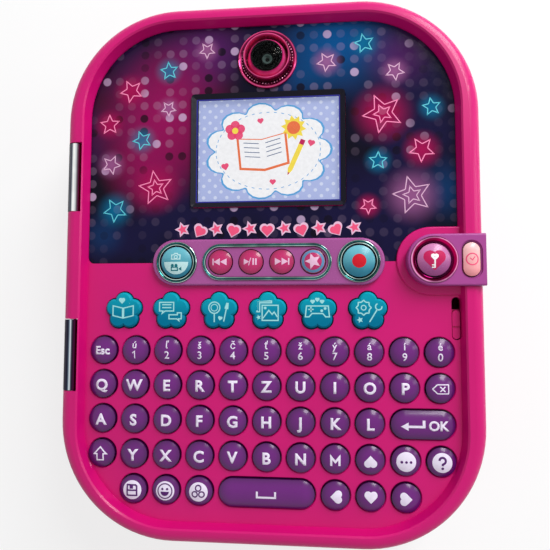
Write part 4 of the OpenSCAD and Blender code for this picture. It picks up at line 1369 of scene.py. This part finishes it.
@dataclass
class Screen:
    """Window, lit picture and the dark border printed round it, in millimetres."""

    shop: Shop
    picture_w: float = 57.6
    picture_h: float = 43.2
    border: float = 2.0
    scallops: int = 11
    stitches: int = 44
    lit: float = 0.7

    def build(self) -> None:
        """Dresses the window and lays the picture under it."""
        self.shop.dress(Pane("window_glass", (1, 1, 1), tint(20, 20, 30)), "display_window")
        self.shop.dress(BareMetal("screen_frame", tint(90, 92, 98)), "display_module")
        low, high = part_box("display_window")
        half_w, half_h = (high.x - low.x) / 2 / MM - 0.1, (high.y - low.y) / 2 / MM - 0.1
        rim = Face(rectangle(half_w, half_h), width=self.border, round_off=1.4, arcs=4)
        edge = Face(rectangle(half_w - self.border, half_h - self.border), width=0.5, round_off=0.3, arcs=4)
        ground = Face(rectangle(self.picture_w / 2, self.picture_h / 2), round_off=0.3, arcs=4)
        self.sheet("window_border", 1, self.shop.ink(Ink.NIGHT), [rim], "display_window")
        self.sheet("window_edge", 1, self.shop.ink(Ink.INDIGO), [edge], "display_window")
        self.sheet("picture_ground", 1, self.shop.finish(LitPattern()), [ground])
        for name, layer, ink, marks in (*self.badge(), *self.notebook(), *self.garden()):
            self.sheet(name, layer, self.shop.ink(ink, self.lit), marks)

    def sheet(self, name: str, layer: int, material: Material, marks: Sequence[Mark],
              carrier: str = "display_module") -> None:
        """Lays one sheet of the picture.

        Args:
            name: Name of the sheet.
            layer: Which sheet it is, counted from below.
            material: What it shows.
            marks: Its shapes about the middle of the screen.
            carrier: Node that it lies on.
        """
        Print(name, carrier, "deck", "screen", material, marks, layer=layer, cell=0,
              centre=middle("display_window"), step=0.025 * MM, thickness=0.018 * MM).lay(self.shop.frame)

    def badge(self) -> list[tuple[str, int, Ink, list[Mark]]]:
        """Scalloped badge with its stitched edge.

        Returns:
            Name, layer, ink and marks of each sheet.
        """
        points: list[Point] = []
        for i in range(self.scallops):
            turn = 360 / self.scallops * i
            hub = (0.8 * math.cos(math.radians(turn)), 0.8 * math.sin(math.radians(turn)))
            points += arc(hub, 0.245, turn - 76, turn + 76, 7)
        outer, inner = ([(x * 25.2 * grow, y * 19.4 * grow) for x, y in points] for grow in (1.0, 0.965))
        turns = [360 / self.stitches * i for i in range(self.stitches)]
        dashes = [Face(rectangle(0.6, 0.14), turn=turn + 90,
                       at=(21.4 * math.cos(math.radians(turn)), 15.9 * math.sin(math.radians(turn))))
                  for turn in turns]
        return [("badge_edge", 2, Ink.SKY, [Face(outer)]), ("badge", 3, Ink.PAPER, [Face(inner)]),
                ("badge_stitches", 4, Ink.SKY, dashes)]

    @staticmethod
    def notebook() -> list[tuple[str, int, Ink, list[Mark]]]:
        """Open notebook with a pencil.

        Returns:
            Name, layer, ink and marks of each sheet.
        """
        book = {"at": (-2, -0.5), "turn": 6}
        pen = {"at": (11.5, -2.5), "turn": -24}
        page = [(0, -7), (9.4, -5.4), (9.4, 6.4), (0, 5)]
        cover = [(x * 1.1, y * 1.12 - 0.2) for x, y in page]
        lines = [[(side * 1.4, 3.6 - 1.9 * i), (side * 7.6, 4.7 - 1.9 * i)] for side in (-1, 1) for i in range(4)]
        pencil = [(-1.0, -6), (0, -8.6), (1.0, -6), (1.0, 6.5), (-1.0, 6.5)]
        ends = ([(-0.45, -7.4), (0, -8.6), (0.45, -7.4)], [(-1.0, 5.1), (1.0, 5.1), (1.0, 7.2), (-1.0, 7.2)])
        return [
            ("book_cover", 4, Ink.ORANGE, [Face(cover, **book), Face(mirrored(cover), **book)]),
            ("book_pages", 5, Ink.PAPER, [Face(page, **book), Face(mirrored(page), **book)]),
            ("book_lines", 6, Ink.SLATE, [Line(0.3, line, **book) for line in lines]),
            ("pencil", 6, Ink.SUN, [Face(pencil, **pen)]),
            ("pencil_ends", 7, Ink.CRIMSON, [Face(end, **pen) for end in ends]),
        ]

    @staticmethod
    def garden() -> list[tuple[str, int, Ink, list[Mark]]]:
        """Sun, flower and small hearts of the picture.

        Returns:
            Name, layer, ink and marks of each sheet.
        """
        sun, flower = (10.5, 9.2), (-13.5, 8.6)
        hearts = ((-17.5, -6.5, 12, 3.4), (17.6, 2.4, -14, 3.2), (2, -13.2, 0, 2.8), (-3, 12.2, 8, 2.8))
        return [
            ("sun_rays", 4, Ink.SUN, [Star(5.2, 0.68, 10, at=sun, turn=10)]),
            ("sun_disc", 5, Ink.ORANGE, [Disc(2.7, 32, at=sun)]),
            ("picture_petals", 5, Ink.ROSE, [Disc(1.9, 20, at=spot) for spot in arc(flower, 2.3, 90, 378, 5)]),
            ("picture_pistil", 6, Ink.SUN, [Disc(1.3, 20, at=flower)]),
            ("picture_hearts", 6, Ink.ROSE, [Heart(size, at=(x, y), turn=turn) for x, y, turn, size in hearts]),
        ]


@dataclass
class ControlBar:
    """Mauve bar with its rings, its bezel and the round buttons on it."""

    shop: Shop

    def build(self) -> None:
        """Dresses the bar and lays the signs of its buttons."""
        dress = self.shop.dress
        # Painted shade: the bar turns darker towards its foot
        dress(MouldedPlastic("mauve_plastic", tint(166, 80, 148), tint(104, 34, 104), foot=44 * MM, head=47 * MM),
              "control_bar")
        self.dress_rings()
        # Painted shade: the media buttons turn darker towards their feet
        dress(MouldedPlastic("crimson_plastic", tint(196, 28, 104), tint(112, 4, 54), foot=47 * MM, head=48.5 * MM,
                             coat=0.3), "previous_button", "play_button", "next_button", "star_button")
        y = middle("photo_button")[1]
        # Painted shade: the teal buttons are lighter at the top and darker towards the bottom
        dress(MouldedPlastic("pearl_teal", tint(106, 188, 202), tint(0, 104, 132), foot=y - 6 * MM, head=y + 6 * MM,
                             axis=1, roughness=0.3, clouds=160.0), "photo_button", "record_button")
        for node, name, ink, layer, marks in self.signs():
            self.shop.sign(node, name, "crimson_plastic", ink, marks, layer=layer)

    def dress_rings(self) -> None:
        """Dresses the two rings and the long bezel in dark chrome with painted reflection bands, the bright ones
        standing in for highlights on its beads.
        """
        dark, shady = tint(6, 10, 22), tint(20, 66, 78)
        teal, bright = tint(66, 160, 158), tint(222, 255, 246)
        # Painted reflection: dark lines at both edges for the shade of the gaps, bright lines for highlights, a teal
        # band between
        beads = ((0.0, dark), (0.14, dark), (0.24, bright), (0.34, dark), (0.5, shady), (0.6, teal),
                 (0.7, dark), (0.82, dark), (0.9, bright), (0.97, dark), (1.0, dark))
        for node, name, plate, rim in (("media_bezel", "bezel_chrome", BandedPlate, 1.4),
                                       ("button_rings", "ring_chrome", TwinPlate, 1.7)):
            low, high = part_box(node)
            outer = (high.y - low.y) / 2 / MM
            half = (high.x - low.x) / 2 - outer * MM
            stops = tuple((outer - rim + rim * share, colour) for share, colour in beads)
            self.shop.dress(plate(name, stops, middle(node), half), node)

    @staticmethod
    def wedge(x: float, way: int, size: float = 1.4) -> Face:
        """Triangle of a media sign, pointing right where way is 1."""
        return Face([(way * size, 0), (-way * size * 0.8, size), (-way * size * 0.8, -size)], at=(x, 0))

    @staticmethod
    def bar(x: float, width: float = 0.5) -> Face:
        """Upright bar of a media sign."""
        return Face(rectangle(width / 2, 1.3), at=(x, 0))

    def signs(self) -> list[tuple[str, str, Ink, int, list[Mark]]]:
        """Signs of the buttons.

        Returns:
            Button, name, ink, layer and marks of each.
        """
        wedge, bar = self.wedge, self.bar
        body = [(-1.9, -1.2), (1.9, -1.2), (1.9, 0.9), (1.0, 0.9), (0.7, 1.5), (-0.7, 1.5), (-1.0, 0.9), (-1.9, 0.9)]
        still = [Face(body, at=(0, 2.2), width=0.4), Disc(0.8, 20, at=(0, 2.05), width=0.34),
                 Face(arc((0, 0.1), 4.9, 180, 360, 25))]
        film = [Face([(-2.0, -1.2), (0.9, -1.2), (0.9, 0.5), (-2.0, 0.5)], at=(0, -2.3), width=0.42),
                Face([(1.1, -0.4), (2.3, -1.1), (2.3, 0.5)], at=(0, -2.3)),
                *(Disc(0.62, at=(x, -1.3)) for x in (-1.3, 0.2))]
        play = [wedge(-1.75, 1, 1.2), Line(0.34, [(-0.8, -1.5), (0.1, 1.5)]), bar(1.05, 0.62), bar(2.1, 0.62)]
        return [
            ("previous_button", "previous_sign", Ink.BLUSH, 1, [bar(-2.75), wedge(-1.1, -1), wedge(1.55, -1)]),
            ("play_button", "play_sign", Ink.BLUSH, 1, play),
            ("next_button", "next_sign", Ink.BLUSH, 1, [wedge(-1.55, 1), wedge(1.1, 1), bar(2.75)]),
            ("star_button", "star_rim", Ink.STEEL_BLUE, 1, [Disc(4.45, 40, width=1.05)]),
            ("star_button", "star_sign", Ink.BLUSH, 2, [Star(3.2, 0.46)]),
            ("photo_button", "photo_sign", Ink.MIST, 1, still),
            ("photo_button", "film_sign", Ink.DEEP_TEAL, 2, film),
            ("record_button", "record_sign", Ink.RED, 1, [Disc(2.7, 40)]),
        ]


@dataclass
class Clasp:
    """Mauve clasp with the lock button, its ring and the clock button."""

    shop: Shop

    def build(self) -> None:
        """Dresses the clasp and lays a key on a heart and a clock on its two buttons."""
        dress, sign = self.shop.dress, self.shop.sign
        # Painted shade: the clasp turns darker towards its foot
        dress(MouldedPlastic("clasp_mauve", tint(168, 72, 146), tint(124, 40, 114), foot=46 * MM, head=51 * MM,
                             roughness=0.3, specular=0.2, coat=0.04), "clasp_housing")
        # Painted reflection on the clasp's ring: dark inside, bright pink and whitish lines of highlight towards its
        # outer edge
        stops = ((6.5, tint(60, 4, 40)), (7.1, tint(110, 6, 62)), (7.5, tint(206, 14, 108)), (7.9, tint(180, 8, 92)),
                 (8.15, tint(228, 100, 172)), (8.4, tint(244, 170, 214)), (8.75, tint(120, 14, 78)))
        dress(BandedPlate("pink_chrome", stops, middle("clasp_ring"), dim=0.7), "clasp_ring")
        y = middle("lock_button")[1]
        # Painted shade: the lock and clock buttons are lighter at the top and darker towards the bottom
        dress(MouldedPlastic("lock_mauve", tint(204, 124, 178), tint(132, 48, 118), foot=y - 6.5 * MM,
                             head=y + 6 * MM, axis=1), "lock_button")
        dress(MouldedPlastic("peach_plastic", tint(250, 198, 198), tint(236, 138, 146), foot=y - 8 * MM,
                             head=y + 6.3 * MM, axis=1), "clock_button")
        key = [Heart(3.1, at=(0, 0.7), width=0.84), Line(0.56, [(0, 0), (0, -3.2)]),
               *(Line(0.45, [(-0.1, -drop), (-1.1, -drop)]) for drop in (2.1, 2.97))]
        clock = [Disc(2.35, 32, width=0.46), Line(0.36, [(-0.85, 0.45), (0, -0.35), (1.0, 0.95)])]
        sign("lock_button", "lock_heart", "mauve_plastic", Ink.CRIMSON, [Heart(8.9, at=(0, -0.7))])
        sign("lock_button", "lock_key", "mauve_plastic", Ink.WHITE, key, layer=2)
        sign("clock_button", "clock_sign", "peach_plastic", Ink.ROSE, clock)


@dataclass
class FlowerRow:
    """Six turquoise flower buttons with line pictures, in millimetres."""

    shop: Shop
    line: float = 0.36
    growth: float = 1.3

    def build(self) -> None:
        """Dresses the flowers and lays a picture on each."""
        y = middle("flower_button_1")[1]
        # Painted sheen and shade: the flowers are lighter at the top and darker towards the bottom
        turquoise = MouldedPlastic("turquoise_plastic", tint(16, 166, 188), tint(0, 106, 142), foot=y - 5 * MM,
                                   head=y + 8.5 * MM, axis=1, roughness=0.3, specular=0.06, coat=0.0)
        pictures = (self.book, self.chat, self.mirror, self.photos, self.gamepad, self.tools)
        for i, picture in enumerate(pictures, 1):
            node = f"flower_button_{i}"
            self.shop.dress(turquoise, node)
            self.shop.sign(node, f"{picture.__name__}_sign", "turquoise_plastic", Ink.AQUA, picture(), cell=0,
                           growth=self.growth)

    def stroke(self, *points: Point) -> Line:
        """Drawn line from point to point."""
        return Line(self.line, points)

    def loop(self, points: Sequence[Point]) -> Face:
        """Closed drawn line."""
        return Face(points, width=self.line)

    def book(self) -> list[Mark]:
        """Open book under a small heart."""
        page = [(0, -2.4), (3.4, -1.6), (3.4, 1.8), (0, 1.0)]
        return [self.loop(page), self.stroke((2.0, 2.3), (3.3, 3.9)), self.loop(mirrored(page)),
                Heart(2.2, at=(-0.4, 3.0))]

    def chat(self) -> list[Mark]:
        """Two speech bubbles."""
        bubble = [(-3.6, -0.2), (-2.6, -0.2), (-2.9, -1.2), (-1.6, -0.2), (1.2, -0.2), (1.2, 2.8), (-3.6, 2.8)]
        answer = [(3.6, -2.6), (3.6, -0.4), (2.0, -0.4), (2.0, -1.0), (-0.6, -1.0), (-0.6, -2.6), (1.9, -2.6),
                  (3.0, -3.4), (2.8, -2.6)]
        lines = [self.stroke((-2.6, 1.9 - 0.9 * i), (0.3, 1.9 - 0.9 * i)) for i in range(2)]
        return [self.loop(bubble), *lines, self.loop(answer)]

    def mirror(self) -> list[Mark]:
        """Hand mirror and a brush."""
        glass = (-1.3, 1.0)
        return [Disc(1.9, 28, at=glass, width=self.line), Disc(1.15, 24, at=glass, width=self.line * 0.7),
                self.stroke((-1.3, -0.9), (-1.3, -3.4)), self.stroke((1.6, -3.2), (2.4, 0.6)),
                Face([(-0.6, 0), (0.6, 0), (0.35, 1.9), (-0.35, 1.9)], at=(2.4, 0.6), turn=-12),
                Heart(1.5, at=(0.5, -2.3), turn=-14)]

    def photos(self) -> list[Mark]:
        """Two photographs, one behind the other."""
        back = [(-3.4, -0.4), (-2.2, -0.4), (-2.2, 2.3), (1.4, 2.3), (1.4, 3.2), (-3.4, 3.2)]
        front = [(-1.8, -3.0), (3.4, -3.0), (3.4, 1.9), (-1.8, 1.9)]
        hill = self.stroke((-1.4, -2.2), (0.4, 0.2), (1.4, -1.0), (2.0, -0.3), (3.0, -1.8))
        return [self.loop(back), hill, Disc(0.42, 14, at=(-0.7, 0.9)), Star(0.8, 0.45, at=(-2.7, -1.9)),
                self.loop(front)]

    def gamepad(self) -> list[Mark]:
        """Game pad with a cross, two buttons and three hearts."""
        shell = [(-3.8, -1.9), (-2.4, -1.9), (-1.5, -0.9), (1.5, -0.9), (2.4, -1.9), (3.8, -1.9), (3.4, 1.7),
                 (-3.4, 1.7)]
        return [self.loop(shell), self.stroke((-2.7, 0.5), (-1.1, 0.5)), self.stroke((-1.9, 1.3), (-1.9, -0.3)),
                *(Disc(0.42, 14, at=spot) for spot in ((1.3, 0.1), (2.3, 0.8))),
                *(Heart(1.5, at=spot) for spot in ((-1.4, 2.7), (0, 3.3), (1.4, 2.7)))]

    def tools(self) -> list[Mark]:
        """Cogwheel and a spanner."""
        hub = (-1.3, 1.0)
        return [Star(2.5, 0.76, 8, at=hub, turn=0, width=self.line, round_off=0.25),
                Disc(0.85, 20, at=hub, width=self.line * 0.8), self.stroke((0.4, -3.2), (2.6, 0.4)),
                Line(self.line, arc((3.1, 1.3), 0.95, 110, 370, 10)), Star(1.0, 0.45, at=(-2.4, -2.6))]


@dataclass
class CameraEye:
    """Turning camera with its chromed ring, its beads and its dark glass."""

    shop: Shop
    dish: float = 0.98 * MM
    reach: float = 10.25 * MM
    bead: float = 0.36 * MM
    count: int = 54

    def build(self) -> None:
        """Dresses the camera's nodes, with painted reflection bands on the ring, the ball and the lens."""
        centre = middle("camera_ring")
        # Painted reflection on the ring: bright lips, a dark groove
        lip, edge, deep = tint(240, 104, 160), tint(196, 16, 96), tint(56, 4, 32)
        black, grey = tint(5, 5, 7), tint(150, 170, 164)
        ring = ((8.6, tint(244, 84, 156)), (8.85, edge), (9.05, lip), (9.3, edge), (9.6, tint(150, 8, 70)),
                (9.9, deep), (10.7, tint(84, 6, 46)), (11.15, tint(120, 8, 62)), (11.3, edge), (11.6, lip),
                (12.0, edge))
        # Painted reflection on the ball: a bright pink band round the dark glass
        ball = ((5.8, tint(4, 4, 6)), (6.3, tint(40, 2, 20)), (6.7, tint(220, 40, 124)), (7.3, tint(250, 96, 164)),
                (7.9, tint(226, 40, 124)), (8.3, tint(150, 12, 84)))
        # Painted reflection on the lens: a grey ring on black
        lens = ((0.0, black), (0.8, black), (0.95, grey), (1.9, grey), (2.1, black), (3.6, black))
        dress = self.shop.dress
        dress(BandedPlate("camera_chrome", ring, centre, dim=0.35, metal=0.7), "camera_ring")
        dress(BandedPlate("ball_chrome", ball, centre, roughness=0.25, dim=0.35, metal=0.0), "camera_ball")
        dress(Pane("smoked_glass", tint(226, 230, 230), tint(2, 2, 3), cover=0.1), "camera_glass")
        dress(BandedPlate("lens_barrel", lens, centre, roughness=0.4, dim=0.1, metal=0.0), "camera_lens")
        self.lay_beads(centre)

    def lay_beads(self, centre: Point) -> None:
        """Lays the band of cut beads in the groove of the ring.

        Args:
            centre: Middle of the ring.
        """
        x, y = centre
        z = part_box("faceplate")[1].z + self.dish
        bpy.ops.object.select_all(action="DESELECT")
        bpy.ops.mesh.primitive_ico_sphere_add(subdivisions=1, radius=self.bead, location=(x + self.reach, y, z))
        band = bpy.context.active_object
        with Bench.shaping(band):
            bpy.ops.mesh.spin(steps=self.count - 1, dupli=True, angle=math.tau * (self.count - 1) / self.count,
                              center=(x, y, z), axis=(0, 0, 1))
            bpy.ops.mesh.select_all(action="SELECT")
            bpy.ops.mesh.normals_make_consistent(inside=False)
        band.name = band.data.name = "camera_beads"
        # Painted glints: the beads shine in random bright and dark patches
        chrome = PlatedPlastic("bead_chrome", tint(255, 168, 204), tint(130, 10, 66), clouds=420.0)
        Shop.deliver(Bench.settle(band), "deck", "pink_chrome", self.shop.finish(chrome))


@dataclass
class Keyboard:
    """Purple keys with their letters, figures and signs, in millimetres."""

    shop: Shop
    letters: Lettering
    figures: Lettering
    cap: float = 4.3
    figure: float = 2.9
    accent: float = 2.75
    disc_radius: float = 3.65
    singles: tuple[str, ...] = ("escape_key", "backspace_key", "enter_key", "shift_key", "up_key", "dots_key",
                                "help_key", "save_key", "smile_key", "symbols_key", "space_key", "left_key",
                                "down_key", "right_key")
    rows: tuple[str, ...] = ("number_keys", "upper_letter_keys", "middle_letter_keys", "lower_letter_keys")

    def build(self) -> None:
        """Dresses the keys and lays their legends."""
        # Painted shade: the keys turn darker from their tops down to their feet
        purple = MouldedPlastic("key_purple", tint(108, 24, 122), tint(50, 6, 60), foot=45 * MM, head=47.3 * MM,
                                roughness=0.24, specular=0.26, coat=0.16)
        self.shop.dress(purple, *self.singles, *self.rows)
        self.lay_rows()
        for key, marks in self.legends().items():
            self.legend(f"{key}_key", f"{key}_legend", marks)
        for key, marks in self.badges().items():
            self.legend(f"{key}_key", f"{key}_disc", [Disc(self.disc_radius, 40)])
            self.legend(f"{key}_key", f"{key}_sign", marks, Ink.PURPLE, layer=2)

    def legend(self, node: str, name: str, marks: Sequence[Mark], ink: Ink = Ink.LAVENDER,
               **settings: object) -> None:
        """Lays a legend on a key or on a row of keys.

        Args:
            node: The key or the row.
            name: Name of the print.
            marks: Its shapes.
            ink: Its ink.
            **settings: Other fields of the print.
        """
        self.shop.sign(node, name, "key_purple", ink, marks, **settings)

    def place(self, number: float, node: str) -> Point:
        """Place of a key in the frame, by its column from escape to backspace and by its row's node."""
        first, last = middle("escape_key")[0], middle("backspace_key")[0]
        return (first + (last - first) * number / 10) / MM, middle(node)[1] / MM

    def lay_rows(self) -> None:
        """Lays the letters and the figures."""
        for node, first, text in (("upper_letter_keys", 0, "QWERTZUIOP"), ("middle_letter_keys", 0, "ASDFGHJKL"),
                                  ("lower_letter_keys", 1, "YXCVBNM")):
            marks = [self.letter(letter, self.place(first + i, node)) for i, letter in enumerate(text)]
            self.legend(node, node.replace("keys", "legends"), marks, centre=(0.0, 0.0))
        marks = []
        for i, (accent, figure) in enumerate(zip("úľščťžýáíé", "1234567890"), 1):
            x, y = self.place(i, "number_keys")
            marks.append(Word(self.figures, accent, self.accent, at=(x, y + 2.25)))
            marks.append(self.digit(figure, (x, y - 1.72)))
        self.legend("number_keys", "number_legends", marks, centre=(0.0, 0.0))

    def letter(self, text: str, at: Point) -> Mark:
        """One capital, with the M drawn as a line because its corners close up when it is bold."""
        if text != "M":
            return Word(self.letters, text, self.cap, at=at)
        line = ((-0.36, -0.5), (-0.36, 0.26), (0, -0.14), (0.36, 0.26), (0.36, -0.5))
        return Line(0.19 * self.cap, [(x * self.cap, y * self.cap) for x, y in line], at=at)

    def digit(self, text: str, at: Point) -> Mark:
        """One figure, with the one drawn as a line because the typeface's has no flag."""
        if text != "1":
            return Word(self.figures, text, self.figure, at=at)
        half = self.figure / 2
        return Line(0.38, [(-0.8, half - 0.75), (0.12, half - 0.12), (0.12, -half)], at=at)

    def legends(self) -> dict[str, list[Mark]]:
        """Words, arrows and hearts of the single keys.

        Returns:
            The marks by the names of the keys.
        """
        bent = [(-8.4, -0.45), (-5.6, 1.1), (-5.6, 0.0), (-0.4, 0.0), (-0.4, 1.9), (0.6, 1.9), (0.6, -0.9),
                (-5.6, -0.9), (-5.6, -2.0)]
        arrow = [(0, 3.0), (3.0, -0.2), (1.5, -0.2), (1.5, -2.6), (-1.5, -2.6), (-1.5, -0.2), (-3.0, -0.2)]
        tag = [(-3.4, 0), (-1.4, 1.9), (3.0, 1.9), (3.0, -1.9), (-1.4, -1.9)]
        cross = [Line(0.46, [(-0.95, -0.95 * way), (0.95, 0.95 * way)], at=(0.6, 0)) for way in (-1, 1)]
        hearts = {key: [Heart(5.3, turn=turn)] for key, turn in (("up", 180), ("left", -90), ("down", 0),
                                                                 ("right", 90))}
        return {
            "escape": [Word(self.letters, "Esc", 3.2)],
            "enter": [Face(bent), Word(self.letters, "OK", 3.5, at=(5.4, 0))],
            "space": [Line(0.75, [(-3.5, 1.1), (-3.5, -1.1), (3.5, -1.1), (3.5, 1.1)])],
            "shift": [Face(arrow, width=0.5)],
            "backspace": [Face(tag, width=0.42, round_off=0.3, arcs=3), *cross],
            **hearts,
        }

    @staticmethod
    def badges() -> dict[str, list[Mark]]:
        """Signs that stand on a pale disc.

        Returns:
            The marks by the names of the keys.
        """
        hook = arc((0, 0.85), 1.15, 178, -48, 12) + [(0, -0.45), (0, -1.0)]
        floppy = [(-2.2, -2.3), (2.2, -2.3), (2.2, 1.6), (1.5, 2.3), (-2.2, 2.3)]
        return {
            "dots": [Disc(0.5, at=(x, 0)) for x in (-1.7, 0, 1.7)],
            "help": [Line(0.78, hook), Disc(0.5, at=(0, -2.0))],
            "save": [Face(floppy, width=0.6), Face(rectangle(1.7, 0.3)),
                     Face([(-0.9, 0.6), (0.5, 0.6), (0.5, 1.9), (-0.9, 1.9)])],
            "smile": [Disc(3.0, 36, width=0.42), *(Disc(0.46, 14, at=(x, 0.85)) for x in (-0.95, 0.95)),
                      Face(arc((0, -0.15), 1.65, 180, 360, 15))],
            "symbols": [Disc(1.3, 24, at=spot, width=0.5) for spot in arc((0, 0), 1.55, 90, 330, 3)],
        }


@dataclass
class Studio:
    """Floor, lamps, world and camera."""

    floor_size: float = 3.0
    sink: float = 0.03 * MM
    lens: float = 34.165
    sensor: float = 36.0
    eye: Triple = (22.74 * MM, -16.36 * MM, 250.2 * MM)
    aim: Triple = (3.681, 5.438, 0.036)
    fill: float = 0.46
    lift: float = 0.72

    def build(self) -> None:
        """Sets up the studio."""
        self.lay_floor()
        self.light_world()
        self.hang_lamp("key_lamp", (0.38, 0.56, 0.52), (0.26, 0.56), 6.2)
        self.hang_lamp("side_lamp", (0.66, 0.16, 0.36), (0.16, 0.44), 0.7)
        self.set_camera()

    def lay_floor(self) -> None:
        """Lays the pale floor, lifted towards white for the camera with its shadow kept."""
        bpy.ops.object.select_all(action="DESELECT")
        bpy.ops.mesh.primitive_plane_add(size=self.floor_size, location=(0, 0, -self.sink))
        floor = Bench.settle(bpy.context.active_object)
        floor.name = "floor"
        recipe = Recipe("pale_floor")
        recipe.paint(recipe.mix(recipe.drift(recipe.noise(8, 2), 0, 1), tint(250, 250, 250), tint(247, 247, 248)),
                     0.85)
        seen = recipe.math("MULTIPLY", recipe.node("ShaderNodeLightPath").outputs["Is Camera Ray"], self.lift)
        white = recipe.node("ShaderNodeEmission")
        white.inputs["Color"].default_value = (1, 1, 1, 1)
        recipe.blend(seen, recipe.skin.outputs[0], white.outputs[0])
        floor.data.materials.append(recipe.material)

    def light_world(self) -> None:
        """Makes the world white to the eye and in mirrors, and a soft fill elsewhere."""
        world = bpy.data.worlds.new("soft_world")
        bpy.context.scene.world = world
        world.use_nodes = True
        tree = world.node_tree
        path = tree.nodes.new("ShaderNodeLightPath")
        total = path.outputs["Is Camera Ray"]
        for name in ("Is Glossy Ray", "Is Transmission Ray"):
            step = tree.nodes.new("ShaderNodeMath")
            step.operation = "MAXIMUM"
            tree.links.new(total, step.inputs[0])
            tree.links.new(path.outputs[name], step.inputs[1])
            total = step.outputs[0]
        level = tree.nodes.new("ShaderNodeMapRange")
        level.inputs["To Min"].default_value = self.fill
        level.inputs["To Max"].default_value = 1.0
        tree.links.new(total, level.inputs["Value"])
        ground = tree.nodes["Background"]
        ground.inputs["Color"].default_value = (1, 1, 1, 1)
        tree.links.new(level.outputs["Result"], ground.inputs["Strength"])

    @staticmethod
    def hang_lamp(name: str, place: Triple, size: Point, power: float) -> None:
        """Hangs a soft lamp that looks at the middle of the object.

        Args:
            name: Name of the lamp.
            place: Where it hangs.
            size: Its width and its height.
            power: Its power in watts.
        """
        bpy.ops.object.light_add(type="AREA", location=place)
        lamp = bpy.context.active_object
        lamp.name = name
        lamp.data.shape = "RECTANGLE"
        lamp.data.size, lamp.data.size_y = size
        lamp.data.energy = power
        lamp.rotation_euler = (-Vector(place)).to_track_quat("-Z", "Y").to_euler()

    def set_camera(self) -> None:
        """Places the camera at the photograph's viewing angle."""
        turn = Euler([math.radians(angle) for angle in self.aim])
        bpy.ops.object.camera_add(location=self.eye, rotation=turn)
        camera = bpy.context.active_object
        camera.name = "camera"
        camera.data.sensor_width = self.sensor
        camera.data.lens = self.lens
        camera.data.clip_start = 0.01
        bpy.context.scene.camera = camera
        bpy.context.scene.view_settings.view_transform = "Standard"


def main() -> None:
    """Builds the diary's looks in order."""
    logging.basicConfig(level=logging.INFO, format="%(name)s: %(message)s")
    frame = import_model()
    Studio().build()
    shop = Shop(frame)
    Casing(shop).build()
    NightPlate(shop).build()
    Screen(shop).build()
    ControlBar(shop).build()
    Clasp(shop).build()
    FlowerRow(shop).build()
    CameraEye(shop).build()
    Keyboard(shop, Lettering(0.035), Lettering(0.012)).build()


if __name__ == "__main__":
    main()
